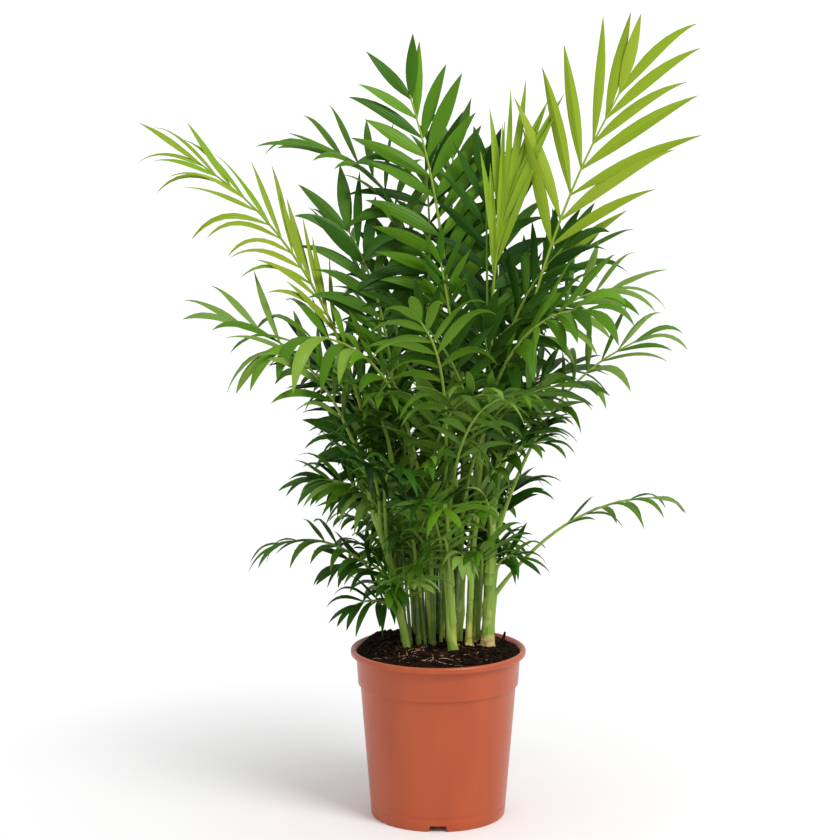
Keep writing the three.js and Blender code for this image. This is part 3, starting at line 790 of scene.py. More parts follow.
fronds = grown({**FRONDS, **fill})
in_cad = {name for name in frame["nodes"] if name.startswith("frond_")}
same = in_cad == {"frond_" + frond["name"] for frond in fronds}
print(len(fronds), "fronds grown,", len(in_cad), "in the CAD model, the same:", same)

# %% [markdown]
# ## Understorey
#
# Between the canes stand thinner young shoots, and the clump carries many small fronds, which hide
# the canes. Both follow the rules above and find room among the other limbs. They have no solids in
# the CAD model. The low right side of the clump is open, so the small fronds keep off it, and none
# hangs down before the stems at the front.

# %% Shoots
SHOOTS = Sizes(
    tries=260, count=20, middle=(4, 20), reach=(46, 28), high=(80, 210), low=(1.6, 2.4),
    taper=0.75, outward=(0.1, 0.7), frond_at=0.98,
)


def shoot(run):
    turn = run.uniform(0, 2 * math.pi)
    out = math.sqrt(run.random())
    x, y = (out * r * f(turn) for r, f in zip(SHOOTS.reach, (math.cos, math.sin)))
    way = run.uniform(*SHOOTS.outward)
    low = run.uniform(*SHOOTS.low)
    return dict(
        foot=(SHOOTS.middle[0] + x, SHOOTS.middle[1] + y), top=(x * way, y * way),
        high=run.uniform(*SHOOTS.high), low=low, tip=low * SHOOTS.taper,
    )


# %% Find room for the shoots
def find_shoots():
    """Shoots that stand clear of every limb so far."""
    run = random.Random("shoots")
    found = {}
    for _ in range(SHOOTS.tries):
        one = shoot(run)
        own = cane_balls(one)
        if len(found) < SHOOTS.count and clear(own, np.vstack([b for _, b in limbs])):
            name = f"shoot_{len(found) + 1:02d}"
            found[name] = one
            limbs.append(("cane_" + name, own))
    return found


shoots = find_shoots()
print(len(shoots), "shoots find room")

# %% Small fronds
# They grow from the tips of the shoots, and in tiers as the fill fronds do. `rightmost` and
# `open_front` keep a tier off the right side and off the front. Two more fronds stand at the back,
# behind the gap between the highest ones.
CROWN = dict(
    lean=(1, 12), bend=(34, 86), long=(80, 150), leaf=(48, 68), wide=(13, 17), roll=(-60, 60),
    veer=(-60, 60), spread=50, bare=0.3, pairs=6, sag=0.45, tones=("green", "fresh", "green"),
    shade=2,
)
UNDER = [
    dict(
        count=26, pairs=5, at=(0.1, 0.42), lean=(5, 22), bend=(50, 100), long=(64, 130),
        leaf=(38, 54), wide=(11, 15), roll=(-50, 50), veer=(-60, 60), bare=0.34, sag=0.5,
        tone="fresh", rightmost=0.3, open_front=(-115, -20),
    ),
    dict(
        count=16, pairs=6, at=(0.03, 0.14), lean=(1, 6), bend=(20, 70), long=(210, 330),
        leaf=(54, 74), wide=(13, 17), roll=(-60, 60), veer=(-60, 60), late=3, bare=0.6, sag=0.45,
        tone="green", open_front=(-100, -30),
    ),
    dict(
        count=18, pairs=6, at=(0.2, 0.5), lean=(2, 9), bend=(36, 80), long=(150, 240),
        leaf=(52, 70), wide=(12, 16), roll=(-60, 60), veer=(-60, 60), late=2.5, bare=0.56, sag=0.45,
        tone="green", rightmost=0.3, open_front=(-115, -20),
    ),
    dict(
        count=20, pairs=6, at=(0.6, 0.94), lean=(3, 11), bend=(30, 70), long=(130, 200),
        leaf=(62, 84), wide=(15, 20), roll=(-60, 60), veer=(-60, 60), bare=0.42, sag=0.4,
        tone="deep",
    ),
    dict(
        count=34, pairs=5, az=(130, 265), at=(0.12, 0.7), lean=(6, 40), bend=(36, 100),
        long=(50, 96), leaf=(36, 50), wide=(11, 15), roll=(-60, 60), veer=(-50, 50), bare=0.26,
        sag=0.5, tone="green",
    ),
    dict(
        count=8, pairs=7, at=(0.8, 0.95), lean=(0, 6), bend=(8, 26), long=(190, 250), leaf=(64, 80),
        wide=(17, 21), roll=(-70, 70), veer=(-30, 30), bare=0.4, sag=0.3, tone="deep",
    ),
]
UNDER_SEED = 12
BACKING = dict(
    back_spear=dict(
        cane="l", at=0.9, az=120, lean=-1, bend=9, long=236, bare=0.36, pairs=7, leaf=82, wide=22,
        open=44, roll=-20, sag=0.25, tone="deep",
    ),
    back_top=dict(
        cane="h", at=0.7, az=100, lean=-1, bend=7, long=262, bare=0.5, pairs=6, leaf=78, wide=20,
        open=46, roll=10, sag=0.25, tone="deep",
    ),
)
WINDOW = dict(x=(-28, 78), y=(-200, 12), z=(0, 252))  # kept free in front of the stems
print(sum(tier["count"] for tier in UNDER), "small fronds to deal out")


# %% Grow the small fronds
def shoot_fronds():
    """One frond at the tip of each shoot, turned roughly away from the clump's middle."""
    run = random.Random("shoot fronds")
    made = {}
    for i, (name, one) in enumerate(shoots.items()):
        drawn = {key: run.uniform(*limits) for key, limits in CROWN.items() if key in DRAWN}
        away = math.degrees(math.atan2(one["top"][1], one["top"][0]))
        drawn["az"] = away + run.uniform(-1, 1) * CROWN["spread"]
        drawn["tone"] = CROWN["tones"][i % len(CROWN["tones"])]
        made[name] = {**CROWN, **drawn, "at": SHOOTS.frond_at, "cane": name}
    return made


def in_window(frond):
    tip = frond["stations"][-1][0]
    return all(low < v < high for v, (low, high) in zip(tip, WINDOW.values()))


small_fronds = fill_fronds(UNDER, "under", UNDER_SEED)
CANES.update(shoots)
small = grown({**BACKING, **shoot_fronds(), **small_fronds})
small = [frond for frond in small if frond["cane"] in shoots or not in_window(frond)]
fronds += small
print(len(small), "small fronds find room")

# %% [markdown]
# ## Leaflets
#
# A leaflet of this palm is lance-shaped: a narrow foot on the rib, widest before its middle, and a
# long fine tip. It is folded a little along its midrib, like a roof, and its own weight bends it.
# Each starts as a flat grid, two faces wide so that it can fold along its midrib, and is bent
# into place. One solidify then gives a whole piece its thickness, so that no leaflet is see-through
# from below. The colours are plain, and are dealt out frond by frond and leaflet by leaflet, as the
# light and age of each frond set them.

# %% Leaflet sizes
LEAF = Sizes(last=0.985, apart=0.2, least=0.7, swell=(0.15, 0.75), fan=3, rooted=0.6)
FINE = Sizes(
    more=1.2, narrower=0.56, end=1.15, fold=(0.16, 0.46), ripple=0.08, ripples=8, curl=(0.0, 0.14),
    droop=4.2, droop_power=1.7, upright=0.14, upward=1.1, thick=0.32, shorter=0.94,
)
LOOSE = Sizes(
    angle=7, lift=15, sag=(0.3, 1.8), long=(0.82, 1.04), wide=(0.84, 1.16), twist=40, missing=0.03
)
ROWS = (0, 0.07, 0.17, 0.29, 0.42, 0.55, 0.68, 0.8, 0.9, 0.965, 1)  # shares of a leaflet's length
print("a leaflet's mesh:", len(ROWS), "rows")


# %% The rib between its stations
def rib_at(frond, s):
    """The rib's place and directions at share s, on a smooth curve through its stations."""
    stations = frond["stations"]
    points = [station[0] for station in stations]
    points = [points[0] * 2 - points[1], *points, points[-1] * 2 - points[-2]]
    x = min(max(s, 0), 1) * RIB.segments
    i = min(int(x), RIB.segments - 1)
    t = x - i
    p, q, r, w = points[i : i + 4]
    point = q * 2 + (r - p) * t + (p * 2 - q * 5 + r * 4 - w) * t**2
    point = (point + (q * 3 - p - r * 3 + w) * t**3) / 2
    mixed_ways = [stations[i][k].lerp(stations[i + 1][k], t).normalized() for k in (1, 2, 3)]
    return point, *mixed_ways


# %% Deal out the leaflets of a frond
def leaflets_of(frond, run):
    """Every leaflet of a frond, finer than the CAD model's and a little loose."""
    pairs = frond.get("real") or round(frond["pairs"] * FINE.more)
    for i in range(pairs):
        u = i / (pairs - 1)
        for side in (-1, 1):
            if run.random() < LOOSE.missing:
                continue
            back = 0 if side > 0 else LEAF.apart * u * (1 - u) / (pairs - 1)
            share = lerp(frond["bare"], LEAF.last, u - back)
            point, along, across, normal = rib_at(frond, share)
            angle = lerp(frond["open"], frond["close"], u ** LEAF.fan) + side * frond["skew"]
            angle = math.radians(angle + run.uniform(-1, 1) * LOOSE.angle)
            lift = math.radians(frond["lift"] + run.uniform(-1, 1) * LOOSE.lift)
            aside = across * (side * math.cos(lift)) + normal * math.sin(lift)
            way = (along * math.cos(angle) + aside * math.sin(angle)).normalized()
            swell = math.sin(math.pi * (LEAF.swell[0] + LEAF.swell[1] * u))
            size = lerp(LEAF.least, 1, swell)
            level = lerp(FINE.upright, 1, way.xy.length_squared)
            end = FINE.end if i == pairs - 1 else 1
            wide = frond["wide"] * (1 + size) / 4 * FINE.narrower * end
            yield dict(
                base=point,
                way=way,
                back=aside * math.cos(angle) - along * math.sin(angle),
                normal=normal,
                length=frond["leaf"] * size * run.uniform(*LOOSE.long),
                half=wide * run.uniform(*LOOSE.wide),
                droop=FINE.droop * frond["sag"] * level * run.uniform(*LOOSE.sag),
                curl=run.uniform(*FINE.curl),
                twist=math.radians(run.uniform(-1, 1) * LOOSE.twist),
                fold=run.uniform(*FINE.fold),
                wave=run.uniform(0, 2 * math.pi),
            )


# %% Bend a leaflet's midrib
def midrib(leaf):
    """The midrib's point, direction and upper side at each row, bent down by its own weight."""
    point = leaf["base"] - leaf["way"] * LEAF.rooted
    rows = []
    for t, ahead in zip(ROWS, (*ROWS[1:], 1)):
        sag = UP * (leaf["droop"] * t ** FINE.droop_power)
        way = (leaf["way"] + (leaf["back"] * (leaf["curl"] * t) - sag)).normalized()
        upper = leaf["normal"] + UP * (FINE.upward * leaf["droop"] * t)
        upper = (upper - way * upper.dot(way)).normalized()
        upper = Matrix.Rotation(leaf["twist"] * t, 3, way) @ upper
        rows.append((point, way, upper))
        point = point + way * (leaf["length"] * (ahead - t))
    return rows


def kept_inside(leaf):
    """The midrib of a leaflet that is shortened until its tip is inside the CAD model's box."""
    while True:
        rows = midrib(leaf)
        tip = rows[-1][0] * MM
        if all(low < x < high for low, x, high in zip(cad_low, tip, cad_high)):
            return rows
        leaf["length"] *= FINE.shorter


# %% Bend a grid into a leaflet
OUTLINE = Sizes(belly=0.92, blunt=0.95, foot=0.13)  # foot: its width next to the widest


def grid(bm, across, along):
    """Adds a flat grid with UVs, 1 wide and long. Gives each vertex, its place across and row."""
    made = bmesh.ops.create_grid(
        bm, x_segments=across, y_segments=along, size=0.5, calc_uvs=True
    )["verts"]
    return [(vert, vert.co.x, round((vert.co.y + 0.5) * along)) for vert in made]


def outline(t):
    """Half width of a leaflet at share t of its length: narrow foot, lance shape, fine tip."""
    lance = math.sin(math.pi * t ** OUTLINE.belly) ** OUTLINE.blunt
    return max(lance, OUTLINE.foot * (1 - t))


def bend_leaflet(bm, leaf):
    """Adds one leaflet as an open sheet with its face up. Returns its vertices with their rows."""
    rows = kept_inside(leaf)
    placed_rows = {}
    for vert, x, row in grid(bm, 2, len(ROWS) - 1):
        side, t = round(x * 2), ROWS[row]
        point, way, upper = rows[row]
        half = leaf["half"] * outline(t)
        ripple = side * math.sin(leaf["wave"] + FINE.ripples * t)
        drop = leaf["fold"] * abs(side) + FINE.ripple * ripple
        vert.co = (point + way.cross(upper) * (side * half) - upper * (drop * half)) * MM
        placed_rows[vert] = row
    return placed_rows


# %% [markdown]
# The leaf's surface is smooth and slightly waxy, with fine veins that run along it. Its upper face
# is darker than the lower, and a few tips are dry. A frond takes one shade of its tone's palette,
# which runs from dark to light, and some of its leaflets take a neighbouring one.

# %% Leaf colours
TONES = dict(
    young=dict(
        shades=[(122, 160, 22), (130, 156, 33), (138, 161, 42), (150, 171, 62)],
        below=(132, 164, 38), stalk=(138, 166, 54),
    ),
    fresh=dict(
        shades=[(54, 99, 8), (74, 118, 13), (92, 137, 24), (118, 152, 48)],
        below=(98, 138, 36), stalk=(144, 172, 70),
    ),
    green=dict(
        shades=[(38, 78, 6), (54, 98, 10), (76, 120, 20), (114, 147, 60)],
        below=(88, 126, 38), stalk=(138, 166, 70),
    ),
    deep=dict(
        shades=[(16, 48, 3), (26, 63, 5), (42, 84, 9), (66, 108, 24)],
        below=(58, 98, 26), stalk=(116, 148, 56),
    ),
)
DRY_TIP = (112, 98, 72)
SHADES = 4
BELOW, TIP = SHADES, SHADES + 1
DEALT = Sizes(neighbour=0.4, dry=0.3)


# %% Leaf materials
def leaf_material(name, screen_colour, roughness=0.4):
    base = colour(*screen_colour)
    made, tree, shader = plain_material(name, base, roughness, Specular_IOR_Level=0.16)
    uv = node(tree, "UVMap", uv_map="UVMap").outputs["UV"]
    lines = node(tree, "Group", {"UV": uv}, node_tree=veins)
    bumped(tree, shader, lines.outputs["Height"], 0.4, 0.0005)
    return made


def leaf_materials(tone):
    shades = enumerate(TONES[tone]["shades"], 1)
    made = [leaf_material(f"leaf_{tone}_{i}", shade) for i, shade in shades]
    return [*made, leaf_material(f"leaf_{tone}_below", TONES[tone]["below"]), dry_material]


dry_material = leaf_material("leaf_dry", DRY_TIP, 0.7)
print(len(TONES), "tones of", SHADES, "shades")


# %% Make the leaflets
def deal_shades(rows, frond_shade, run):
    """Gives a leaflet's faces the frond's shade or a neighbour, and at times a dry tip."""
    shade = frond_shade
    if run.random() < DEALT.neighbour:
        shade = min(max(shade + run.choice((-1, 1)), 0), SHADES - 1)
    dry = run.random() < DEALT.dry
    for face in {face for vert in rows for face in vert.link_faces}:
        at_tip = dry and min(rows[vert] for vert in face.verts) == len(ROWS) - 2
        face.material_index = TIP if at_tip else shade


def leaflet_piece(tone):
    run = random.Random("leaflets " + tone)
    bm = with_uvs()
    nodes, count = [], 0
    for frond in fronds:
        if frond["tone"] != tone:
            continue
        shade = frond.get("shade", run.randrange(SHADES))
        for leaf in leaflets_of(frond, run):
            deal_shades(bend_leaflet(bm, leaf), shade, run)
            count += 1
        nodes += [name for name in ("frond_" + frond["name"],) if name in in_cad]
    made = bmesh.ops.solidify(bm, geom=bm.faces[:], thickness=FINE.thick * MM)["geom"]
    for face in made:
        if isinstance(face, bmesh.types.BMFace) and face.material_index < SHADES:
            face.material_index = BELOW
    print(tone, count, "leaflets, volume", round(bm.calc_volume(signed=True) * 1e6, 1), "cm3")
    return finished("leaflets_" + tone, bm, leaf_materials(tone), nodes)


for tone in TONES:
    leaflet_piece(tone)

# %% [markdown]
# ## Ribs and sheaths
#
# A frond's stalk begins as a sheath that wraps its cane for a few centimetres, then leaves it and
# runs on as the rib between the leaflets. Both are one tube here: it starts round the cane, a
# little wider than it, and its middle moves outwards while it narrows. A tube is a grid rolled up
# round a path, with its seam merged and its ends filled.


# %% Directions along a path
def path_frames(points, reference):
    """For each point of a path, two directions across it that don't spin along the way."""
    frames = []
    for i in range(len(points)):
        way = points[min(i + 1, len(points) - 1)] - points[max(i - 1, 0)]
        way = way.normalized()
        side = (reference - way * reference.dot(way)).normalized()
        frames.append((side, way.cross(side)))
        reference = side
    return frames


# %% Roll a grid into a tube
def tube(bm, points, radii, sides, reference=Vector((0, 1, 0)), shape=None, material=0):
    """A closed tube along points. shape(row, angle) may scale its radius. Returns its vertices."""
    frames = path_frames(points, reference)
    made = []
    for vert, x, row in grid(bm, sides, len(points) - 1):
        angle = (x + 0.5) * 2 * math.pi
        radius = radii[row] * (shape(row, angle) if shape else 1)
        side, face = frames[row]
        point = points[row] + (side * math.cos(angle) + face * math.sin(angle)) * radius
        vert.co = point * MM
        made.append(vert)
    bmesh.ops.remove_doubles(bm, verts=made, dist=1e-7)
    made = [vert for vert in made if vert.is_valid]
    faces = {face for vert in made for face in vert.link_faces}
    open_edges = {edge for vert in made for edge in vert.link_edges if edge.is_boundary}
    caps = bmesh.ops.holes_fill(bm, edges=list(open_edges), sides=sides)["faces"]
    for face in [*faces, *caps]:
        face.material_index = material
    return made


# %% The path of a stalk
STALK = Sizes(sides=8, rows=16, crowded=1.15, roughness=0.45)  # crowded: the rows towards the foot
SHEATH = Sizes(low=(22, 40), lowest=0.015, wide=(1.1, 1.26), rows=6, leaves=1.6, narrows=1.3)


def stalk_path(frond, run):
    """Middles and radii from the sheath's foot on the cane to the rib's tip."""
    cane = CANES[frond["cane"]]
    at = frond["at"]
    out = (frond["stations"][0][0] - cane_point(cane, at)).normalized()
    low = max(SHEATH.lowest, at - run.uniform(*SHEATH.low) / cane["high"])
    wide = run.uniform(*SHEATH.wide)
    points, radii = [], []
    for i in range(SHEATH.rows):
        w = i / SHEATH.rows
        t = lerp(low, at, w)
        points.append(cane_point(cane, t) + out * (cane_radius(cane, t) * w ** SHEATH.leaves))
        radii.append(lerp(cane_radius(cane, t) * wide, rib_radius(0), w ** SHEATH.narrows))
    for i in range(STALK.rows + 1):
        s = (i / STALK.rows) ** STALK.crowded
        points.append(rib_at(frond, s)[0])
        radii.append(rib_radius(s))
    return points, radii, Vector((-out.y, out.x, 0))


# %% Make the ribs
def rib_piece(tone):
    run = random.Random("ribs " + tone)
    bm = with_uvs()
    for frond in fronds:
        if frond["tone"] == tone:
            points, radii, level = stalk_path(frond, run)
            tube(bm, points, radii, STALK.sides, level)
    outward(bm)
    stalk = leaf_material("stalk_" + tone, TONES[tone]["stalk"], STALK.roughness)
    return finished("ribs_" + tone, bm, [stalk])


for tone in TONES:
    rib_piece(tone)

# %% [markdown]
# ## Canes
#
# A cane is a green stem with a ring at each place where an old frond has dropped. Its internodes
# taper a little, so that the outline steps at each ring. The foot is older: paler and thicker, and
# on some canes wrapped in the dry remains of the first sheaths. Each cane is a tube with extra rows
# close to its rings. Two attributes on its vertices tell the material where the foot is old and
# where a ring is.

# %% Cane sizes
BARK = Sizes(
    sides=14, first=(6, 12), node=(22, 42), top=6, beyond=20, step=0.07, ring=0.07, ring_high=0.9
)
RIDGES = Sizes(count=5, deep=0.03, turn=(0, 6), twist=0.3)
RING_ROWS = (-1.6, -0.7, 0, 0.7, 1.6)
PLAIN_ROWS = (0.3, 0.5, 0.7)  # shares of the way between two rings


def cane_heights(cane, run):
    """Heights in mm of the rings and of the rows of the mesh, up one cane."""
    rings, height = [], run.uniform(*BARK.first)
    while height < cane["high"] - BARK.top:
        rings.append(height)
        height += run.uniform(*BARK.node)
    rows = {0.0, float(cane["high"])}
    for ring in rings:
        rows.update(ring + offset for offset in RING_ROWS)
    for low, high in zip([0.0] + rings, rings + [float(cane["high"])]):
        rows.update(lerp(low, high, share) for share in PLAIN_ROWS)
    return rings, sorted(rows)


def cane_swell(height, rings):
    """How much wider than its taper a cane is at a height, and how near that is to a ring."""
    above = min((ring for ring in rings if ring >= height), default=height + BARK.beyond)
    below = max((ring for ring in rings if ring < height), default=height - BARK.beyond)
    climb = (height - below) / (above - below)
    near = max(math.exp(-(((height - ring) / BARK.ring_high) ** 2)) for ring in rings)
    return 1 + BARK.step * (climb - 0.5) + BARK.ring * near, near


# %% Cane material
CANE_COLOURS = dict(
    green=colour(108, 142, 38), bleached=colour(178, 196, 106), foot=colour(196, 206, 84),
    ring=colour(132, 136, 60), speck=colour(76, 106, 26),
)
# The shoots' bark is a darker copy of the canes': painted shade for the shoots that stand in the shadow
# between the canes.
SHADED_SHOOT_COLOURS = {
    **CANE_COLOURS,
    "green": colour(72, 106, 26),
    "bleached": colour(104, 134, 50),
    "foot": colour(100, 122, 48),
}


def bark_material(name, colours):
    """Green bark with a pale bloom and dark specks, paler at the foot and browner at its rings."""
    bark, tree, shader = plain_material(name, colours["green"], 0.5)
    patches, grain = mottled(tree, 55.0, 700.0)
    age = node(tree, "Attribute", attribute_name="age").outputs["Fac"]
    ring = node(tree, "Attribute", attribute_name="ring").outputs["Fac"]
    skin = mixed(tree, ranged(tree, patches, 0.5, 0.66), colours["green"], colours["bleached"])
    skin = mixed(tree, ranged(tree, grain, 0.6, 0.75, 0, 0.5), skin, colours["speck"])
    skin = mixed(tree, age, skin, colours["foot"])
    skin = mixed(tree, ranged(tree, ring, 0.3, 1.0, 0, 0.85), skin, colours["ring"])
    tree.links.new(skin, shader.inputs["Base Color"])
    tree.links.new(ranged(tree, age, 0, 1, 0.42, 0.75), shader.inputs["Roughness"])
    bumped(tree, shader, grain, 0.3, 0.0004)
    return bark


cane_bark = bark_material("cane_bark", CANE_COLOURS)
shoot_bark = bark_material("shoot_bark", SHADED_SHOOT_COLOURS)
dry_sheath = patchy_material(
    "dry_sheath", (214, 200, 142), (176, 128, 82), 0.8, (160.0, 900.0), (0.4, 0.62), (0.5, 0.0006)
)
print("materials:", cane_bark.name, shoot_bark.name, dry_sheath.name)

# %% Cuffs
FOOT = Sizes(old=44, ages=1.4)  # mm of old bark, and how soon it turns green above the soil
CUFF = Sizes(
    canes=("a", "b", "h", "i"), high=(6, 16), wide=(1.06, 1.14), slant=6,
    shares=(0.0, 0.4, 0.8, 1.0),
)


def add_cuff(bm, cane, run):
    """The dry sheath round a cane's foot, cut off at a slant."""
    high = run.uniform(*CUFF.high)
    wide = run.uniform(*CUFF.wide)
    lean = run.uniform(0, 2 * math.pi)
    shares = [high * k / cane["high"] for k in CUFF.shares]
    points = [cane_point(cane, t) for t in shares]
    radii = [cane_radius(cane, t) * wide for t in shares]
    made = tube(bm, points, radii, BARK.sides, material=1)
    middle = points[-1] * MM
    for vert in made:
        if vert.co.z > middle.z - 1e-5:
            tilt = math.cos(math.atan2(vert.co.y - middle.y, vert.co.x - middle.x) - lean)
            vert.co.z += CUFF.slant * MM * tilt


# %% One cane
def add_cane(bm, name, cane):
    """Adds one cane with its rings and, on the oldest, the cuff at its foot."""
    run = random.Random("cane " + name)
    age_layer = bm.verts.layers.float["age"]
    ring_layer = bm.verts.layers.float["ring"]
    rings, heights = cane_heights(cane, run)
    shares = [min(height / cane["high"], 1) for height in heights]
    points = [cane_point(cane, t) for t in shares]
    swells = [cane_swell(height, rings)[0] for height in heights]
    radii = [cane_radius(cane, t) * swell for t, swell in zip(shares, swells)]
    turn = run.uniform(*RIDGES.turn)

    def ridged(row, angle):
        return 1 + RIDGES.deep * math.sin(RIDGES.count * angle + turn + RIDGES.twist * row)

    for vert in tube(bm, points, radii, BARK.sides, shape=ridged):
        height = vert.co.z / MM - points[0].z
        vert[age_layer] = min(1, max(0, 1 - height / FOOT.old)) ** FOOT.ages
        vert[ring_layer] = cane_swell(height, rings)[1]
    if name in CUFF.canes:
        add_cuff(bm, cane, run)


# %% Make the canes
def cane_piece(label, names, bark, replaced=()):
    bm = with_uvs()
    bm.verts.layers.float.new("age")
    bm.verts.layers.float.new("ring")
    for name in names:
        add_cane(bm, name, CANES[name])
    outward(bm)
    return finished(label, bm, [bark, dry_sheath], replaced)


for name in CANES:
    if name not in shoots:
        cane_piece("cane_skin_" + name, [name], cane_bark, ["cane_" + name])
# the shoots take the darker bark, painted shade for their place between the canes
cane_piece("young_shoots", list(shoots), shoot_bark)

# %% [markdown]
# ## Roots
#
# The thicker canes stand on stilt roots: short, pinkish cream pegs that leave the foot of the cane
# and go straight into the soil. Each is a tapering tube.

# %% Stilt roots
ROOTED = dict(a=3, g=4, h=6, i=3)  # how many each cane has
ROOT = Sizes(
    apart=(0.2, 0.8), high=(3, 8), deep=3, reach=(2, 4), thick=(0.9, 1.4), sides=7, drop=1.7,
    shares=(0, 0.35, 0.65, 0.85, 1), taper=(1.2, 1.05, 0.95, 0.85, 0.7),
)
root_skin = patchy_material(
    "root_skin", (236, 212, 186), (206, 152, 124), 0.6, (220.0, 1200.0), (0.4, 0.6), (0.4, 0.0005)
)


def add_root(bm, cane, turn, run):
    out = Vector((math.cos(turn), math.sin(turn), 0))
    high = run.uniform(*ROOT.high)
    start = cane_point(cane, high / cane["high"])
    reach = cane["low"] + run.uniform(*ROOT.reach)
    deep = high + ROOT.deep
    points = [start + out * (reach * k) - UP * (deep * k ** ROOT.drop) for k in ROOT.shares]
    thick = run.uniform(*ROOT.thick)
    tube(bm, points, [thick * k for k in ROOT.taper], ROOT.sides, UP.cross(out))


# %% Make the roots
run = random.Random("roots")
bm = bmesh.new()
for name, count in ROOTED.items():
    for i in range(count):
        add_root(bm, CANES[name], (i + run.uniform(*ROOT.apart)) / count * 2 * math.pi, run)
outward(bm)
finished("stilt_roots", bm, [root_skin])

# %% [markdown]
# ## Soil
#
# Potting soil is a dark, crumbly mix of peat and bark. Its surface is a spun disc whose rings are
# raised and lowered by noise, heaped a little against the rim at the back. Loose crumbs, chips of
# bark and fine pale roots lie on it, each with its underside sunk in.

# %% Soil surface
HEAPS = [((-52, 46), 22, 7), ((-20, 66), 16, 4), ((34, 58), 20, 3), ((0, -20), 30, 1.5)]
BANK = Sizes(high=2.2, power=6)
CLODS = dict(coarse=(0.045, 1.6), fine=(0.21, 1.2), grit=(0.7, 0.5))
SURFACE = Sizes(steps=170, rings=46, side=1.8, floor=8.3, gap=0.5, inset=2, shoulder=145, level=152)
NOISE_LAYER = 3.7


def soil_top(x, y):
    """The soil's surface with its heaps and clods."""
    height = soil_height(x, y) + BANK.high * (math.hypot(x, y) / SOIL.reach) ** BANK.power
    for (cx, cy), wide, high in HEAPS:
        height += high * math.exp(-((x - cx) ** 2 + (y - cy) ** 2) / wide**2)
    for frequency, depth in CLODS.values():
        height += depth * noise.noise(Vector((x, y, NOISE_LAYER)) * frequency)
    return height


def soil_bmesh():
    wall, side, floor = POT.wall, SURFACE.side, SURFACE.floor
    edge = POT.band_top - wall - SURFACE.gap
    profile = [
        (0, floor), (POT.foot - side - wall, floor), (POT.foot - side, floor + wall),
        (POT.body_top - side, POT.band_low - wall),
        (edge - SURFACE.inset, POT.band_low + wall + 1), (edge, SURFACE.shoulder),
    ]
    rings = SURFACE.rings
    profile += [(edge * (1 - i / rings), SURFACE.level) for i in range(rings + 1)]
    bm = spun(profile, SURFACE.steps)
    for vert in bm.verts:
        if vert.co.z > (SURFACE.level - 1) * MM:
            vert.co.z = soil_top(vert.co.x / MM, vert.co.y / MM) * MM
    return bm


# %% Soil material
DARK, BROWN, FLECK = colour(15, 7, 3), colour(40, 24, 13), colour(92, 60, 36)
peat, tree, shader = plain_material("peat", DARK, 1, Specular_IOR_Level=0.1)
patches, grain = mottled(tree, 140.0, 900.0)
earth = mixed(tree, ranged(tree, patches, 0.4, 0.68), DARK, BROWN)
earth = mixed(tree, ranged(tree, grain, 0.62, 0.72, 0, 0.7), earth, FLECK)
tree.links.new(earth, shader.inputs["Base Color"])
bumped(tree, shader, grain, 0.9, 0.001)
finished("soil_surface", soil_bmesh(), [peat], ["soil"])

# %% Crumbs
REACH = 74  # mm from the middle that the litter lies within
CRUMB = Sizes(count=1500, size=(0.7, 2.2), power=1.2, uneven=(0.7, 1.3))


def litter(name, light, dark):
    return patchy_material(
        name, light, dark, 0.85, (120.0, 1000.0), (0.38, 0.62), (0.6, 0.0006),
        Specular_IOR_Level=0.1,
    )


def somewhere(run, reach):
    turn = run.uniform(0, 2 * math.pi)
    out = reach * math.sqrt(run.random())
    x, y = out * math.cos(turn), out * math.sin(turn)
    return Vector((x, y, soil_top(x, y)))


def turned_at(run, point, scale):
    spin = [Matrix.Rotation(run.uniform(0, 2 * math.pi), 4, axis) for axis in "XYZ"]
    size = Matrix.Diagonal((*scale, 1))
    return Matrix.Translation(point * MM) @ spin[0] @ spin[1] @ spin[2] @ size


# %% Make the crumbs
run = random.Random("crumbs")
bm = bmesh.new()
for _ in range(CRUMB.count):
    size = run.uniform(*CRUMB.size) ** CRUMB.power
    scale = [size * run.uniform(*CRUMB.uneven) * MM for _ in range(3)]
    place = turned_at(run, somewhere(run, REACH), scale)
    bmesh.ops.create_icosphere(bm, subdivisions=1, radius=1, matrix=place)
finished("soil_crumbs", bm, [litter("crumb", (38, 22, 12), (14, 7, 3))])

# %% Bark chips
# A chip is a flat box whose corners are pushed about. One in nine is pale, and one splinter of
# bark stands upright.
CHIP = Sizes(
    count=260, size=(3, 8), wide=(0.25, 0.6), thick=(0.6, 1.5), raised=0.5, inside=4, tip=0.3,
    turn=6.3, rough=0.4, dark_for_pale=8,
)
STANDING = Sizes(place=(65, 36), size=(3.6, 2.4, 12), lean=14, raised=3, tip=1, narrowed=0.5)


def add_chip(bm, run):
    size = run.uniform(*CHIP.size)
    scale = (size * MM, size * run.uniform(*CHIP.wide) * MM, run.uniform(*CHIP.thick) * MM)
    where = somewhere(run, REACH - CHIP.inside) + UP * CHIP.raised
    tip = [Matrix.Rotation(run.gauss(0, CHIP.tip), 4, axis) for axis in "XY"]
    turn = Matrix.Rotation(run.uniform(0, CHIP.turn), 4, "Z")
    place = Matrix.Translation(where * MM) @ turn @ tip[0] @ tip[1] @ Matrix.Diagonal((*scale, 1))
    made = bmesh.ops.create_cube(bm, size=1, matrix=place)["verts"]
    for vert in made:
        vert.co += Vector([run.uniform(-CHIP.rough, CHIP.rough) for _ in range(3)]) * MM
    shade = run.choice((0,) * CHIP.dark_for_pale + (1,))
    for face in {face for vert in made for face in vert.link_faces}:
        face.material_index = shade


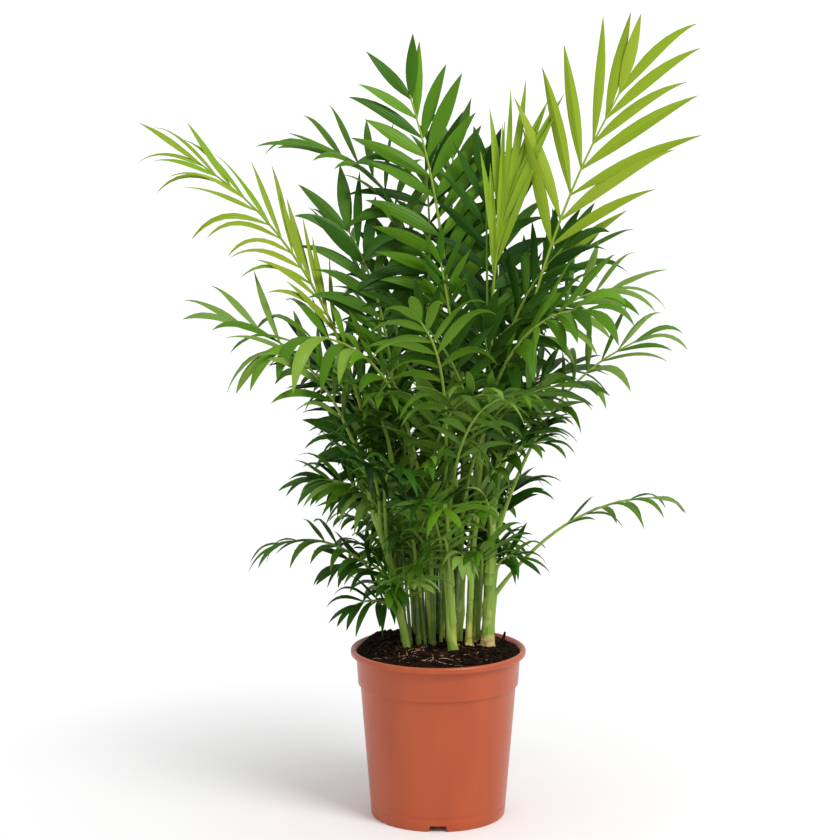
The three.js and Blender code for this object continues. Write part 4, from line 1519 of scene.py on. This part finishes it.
def add_splinter(bm):
    x, y = STANDING.place
    tip = Matrix.Rotation(math.radians(STANDING.lean), 4, "Y")
    size = Matrix.Diagonal((*(v * MM for v in STANDING.size), 1))
    where = Matrix.Translation(Vector((x, y, soil_top(x, y) + STANDING.raised)) * MM)
    made = bmesh.ops.create_cube(bm, size=1, matrix=where @ tip @ size)["verts"]
    for vert in sorted(made, key=lambda v: v.co.z)[4:]:  # the upper four of its eight corners
        vert.co.x = lerp(vert.co.x, x * MM + STANDING.tip * MM, STANDING.narrowed)


# %% Make the chips
run = random.Random("chips")
bm = bmesh.new()
for _ in range(CHIP.count):
    add_chip(bm, run)
add_splinter(bm)
bark_chip = litter("bark_chip", (62, 38, 24), (26, 15, 9))
pale_chip = litter("pale_chip", (146, 112, 80), (96, 68, 48))
finished("soil_chips", bm, [bark_chip, pale_chip])

# %% Fibres and fine roots
FIBRE = Sizes(count=50, long=(6, 18), thick=0.3, rows=6, reach=66)
STRAND = Sizes(count=16, long=(16, 36), thick=0.42, rows=10, x=(-50, 4), y=(-62, -14))
HAIR = Sizes(above=0.5, lies=0.6, wander=0.35, taper=0.5, sides=5)


def add_hair(bm, run, start, kind, material):
    """A bent hair that lies on the soil."""
    length = run.uniform(*kind.long)
    heading = run.uniform(0, 2 * math.pi)
    points, point = [], start.copy()
    for _ in range(kind.rows + 1):
        height = soil_top(point.x, point.y) + kind.thick * HAIR.lies + HAIR.above
        points.append(Vector((point.x, point.y, height)))
        heading += run.gauss(0, HAIR.wander)
        way = Vector((math.cos(heading), math.sin(heading), 0))
        point = point + way * (length / kind.rows)
        if point.xy.length > REACH:
            break
    if len(points) > 2:
        shares = [i / len(points) for i in range(len(points))]
        radii = [kind.thick * (1 - HAIR.taper * share) for share in shares]
        tube(bm, points, radii, HAIR.sides, material=material)


# %% Make the fibres
run = random.Random("fibres")
bm = bmesh.new()
for _ in range(FIBRE.count):
    add_hair(bm, run, somewhere(run, FIBRE.reach), FIBRE, 0)
for _ in range(STRAND.count):
    start = Vector((run.uniform(*STRAND.x), run.uniform(*STRAND.y), 0))
    add_hair(bm, run, start, STRAND, 1)
outward(bm)
peat_fibre = litter("peat_fibre", (120, 92, 62), (70, 48, 34))
fine_root = litter("fine_root", (200, 170, 138), (146, 106, 76))
finished("soil_fibres", bm, [peat_fibre, fine_root])

# %% [markdown]
# ## Floor
#
# The plant stands on a white studio floor. Near the pot it takes the lamp's soft shadow, and
# further out it turns into the same white as the world behind it, so that no line shows where the
# floor ends. It is the stage, not a part of the plant.

# %% Make the floor
FLOOR = Sizes(radius=5000, sides=96, near=0.14, far=0.62, white=0.94, glow=1.05)  # near, far: m
bm = bmesh.new()
bmesh.ops.create_circle(bm, cap_ends=True, segments=FLOOR.sides, radius=FLOOR.radius * MM)
floor = link(bpy.data.objects.new("floor", mesh_of("floor", bm)))
studio, tree, shader = plain_material("studio_floor", (FLOOR.white,) * 3 + (1,), 0.9)
out = node(tree, "VectorMath", {0: place_of(tree)}, operation="LENGTH").outputs["Value"]
glow = node(tree, "Emission", {"Color": (1, 1, 1, 1), "Strength": FLOOR.glow})
blend = node(tree, "MixShader", {
    0: ranged(tree, out, FLOOR.near, FLOOR.far),
    1: shader.outputs["BSDF"],
    2: glow.outputs["Emission"],
})
surface = tree.nodes["Material Output"].inputs["Surface"]
tree.links.new(blend.outputs["Shader"], surface)
floor.data.materials.append(studio)
floor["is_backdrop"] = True
print("floor: the lamp's shadow shows within", FLOOR.near, "m")

# %% Finish
boxes = {"cad": [list(cad_low), list(cad_high)], "visual": [list(corner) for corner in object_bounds()]}
print("the box of the looks:", [round(v, 3) for corner in boxes["visual"] for v in corner])
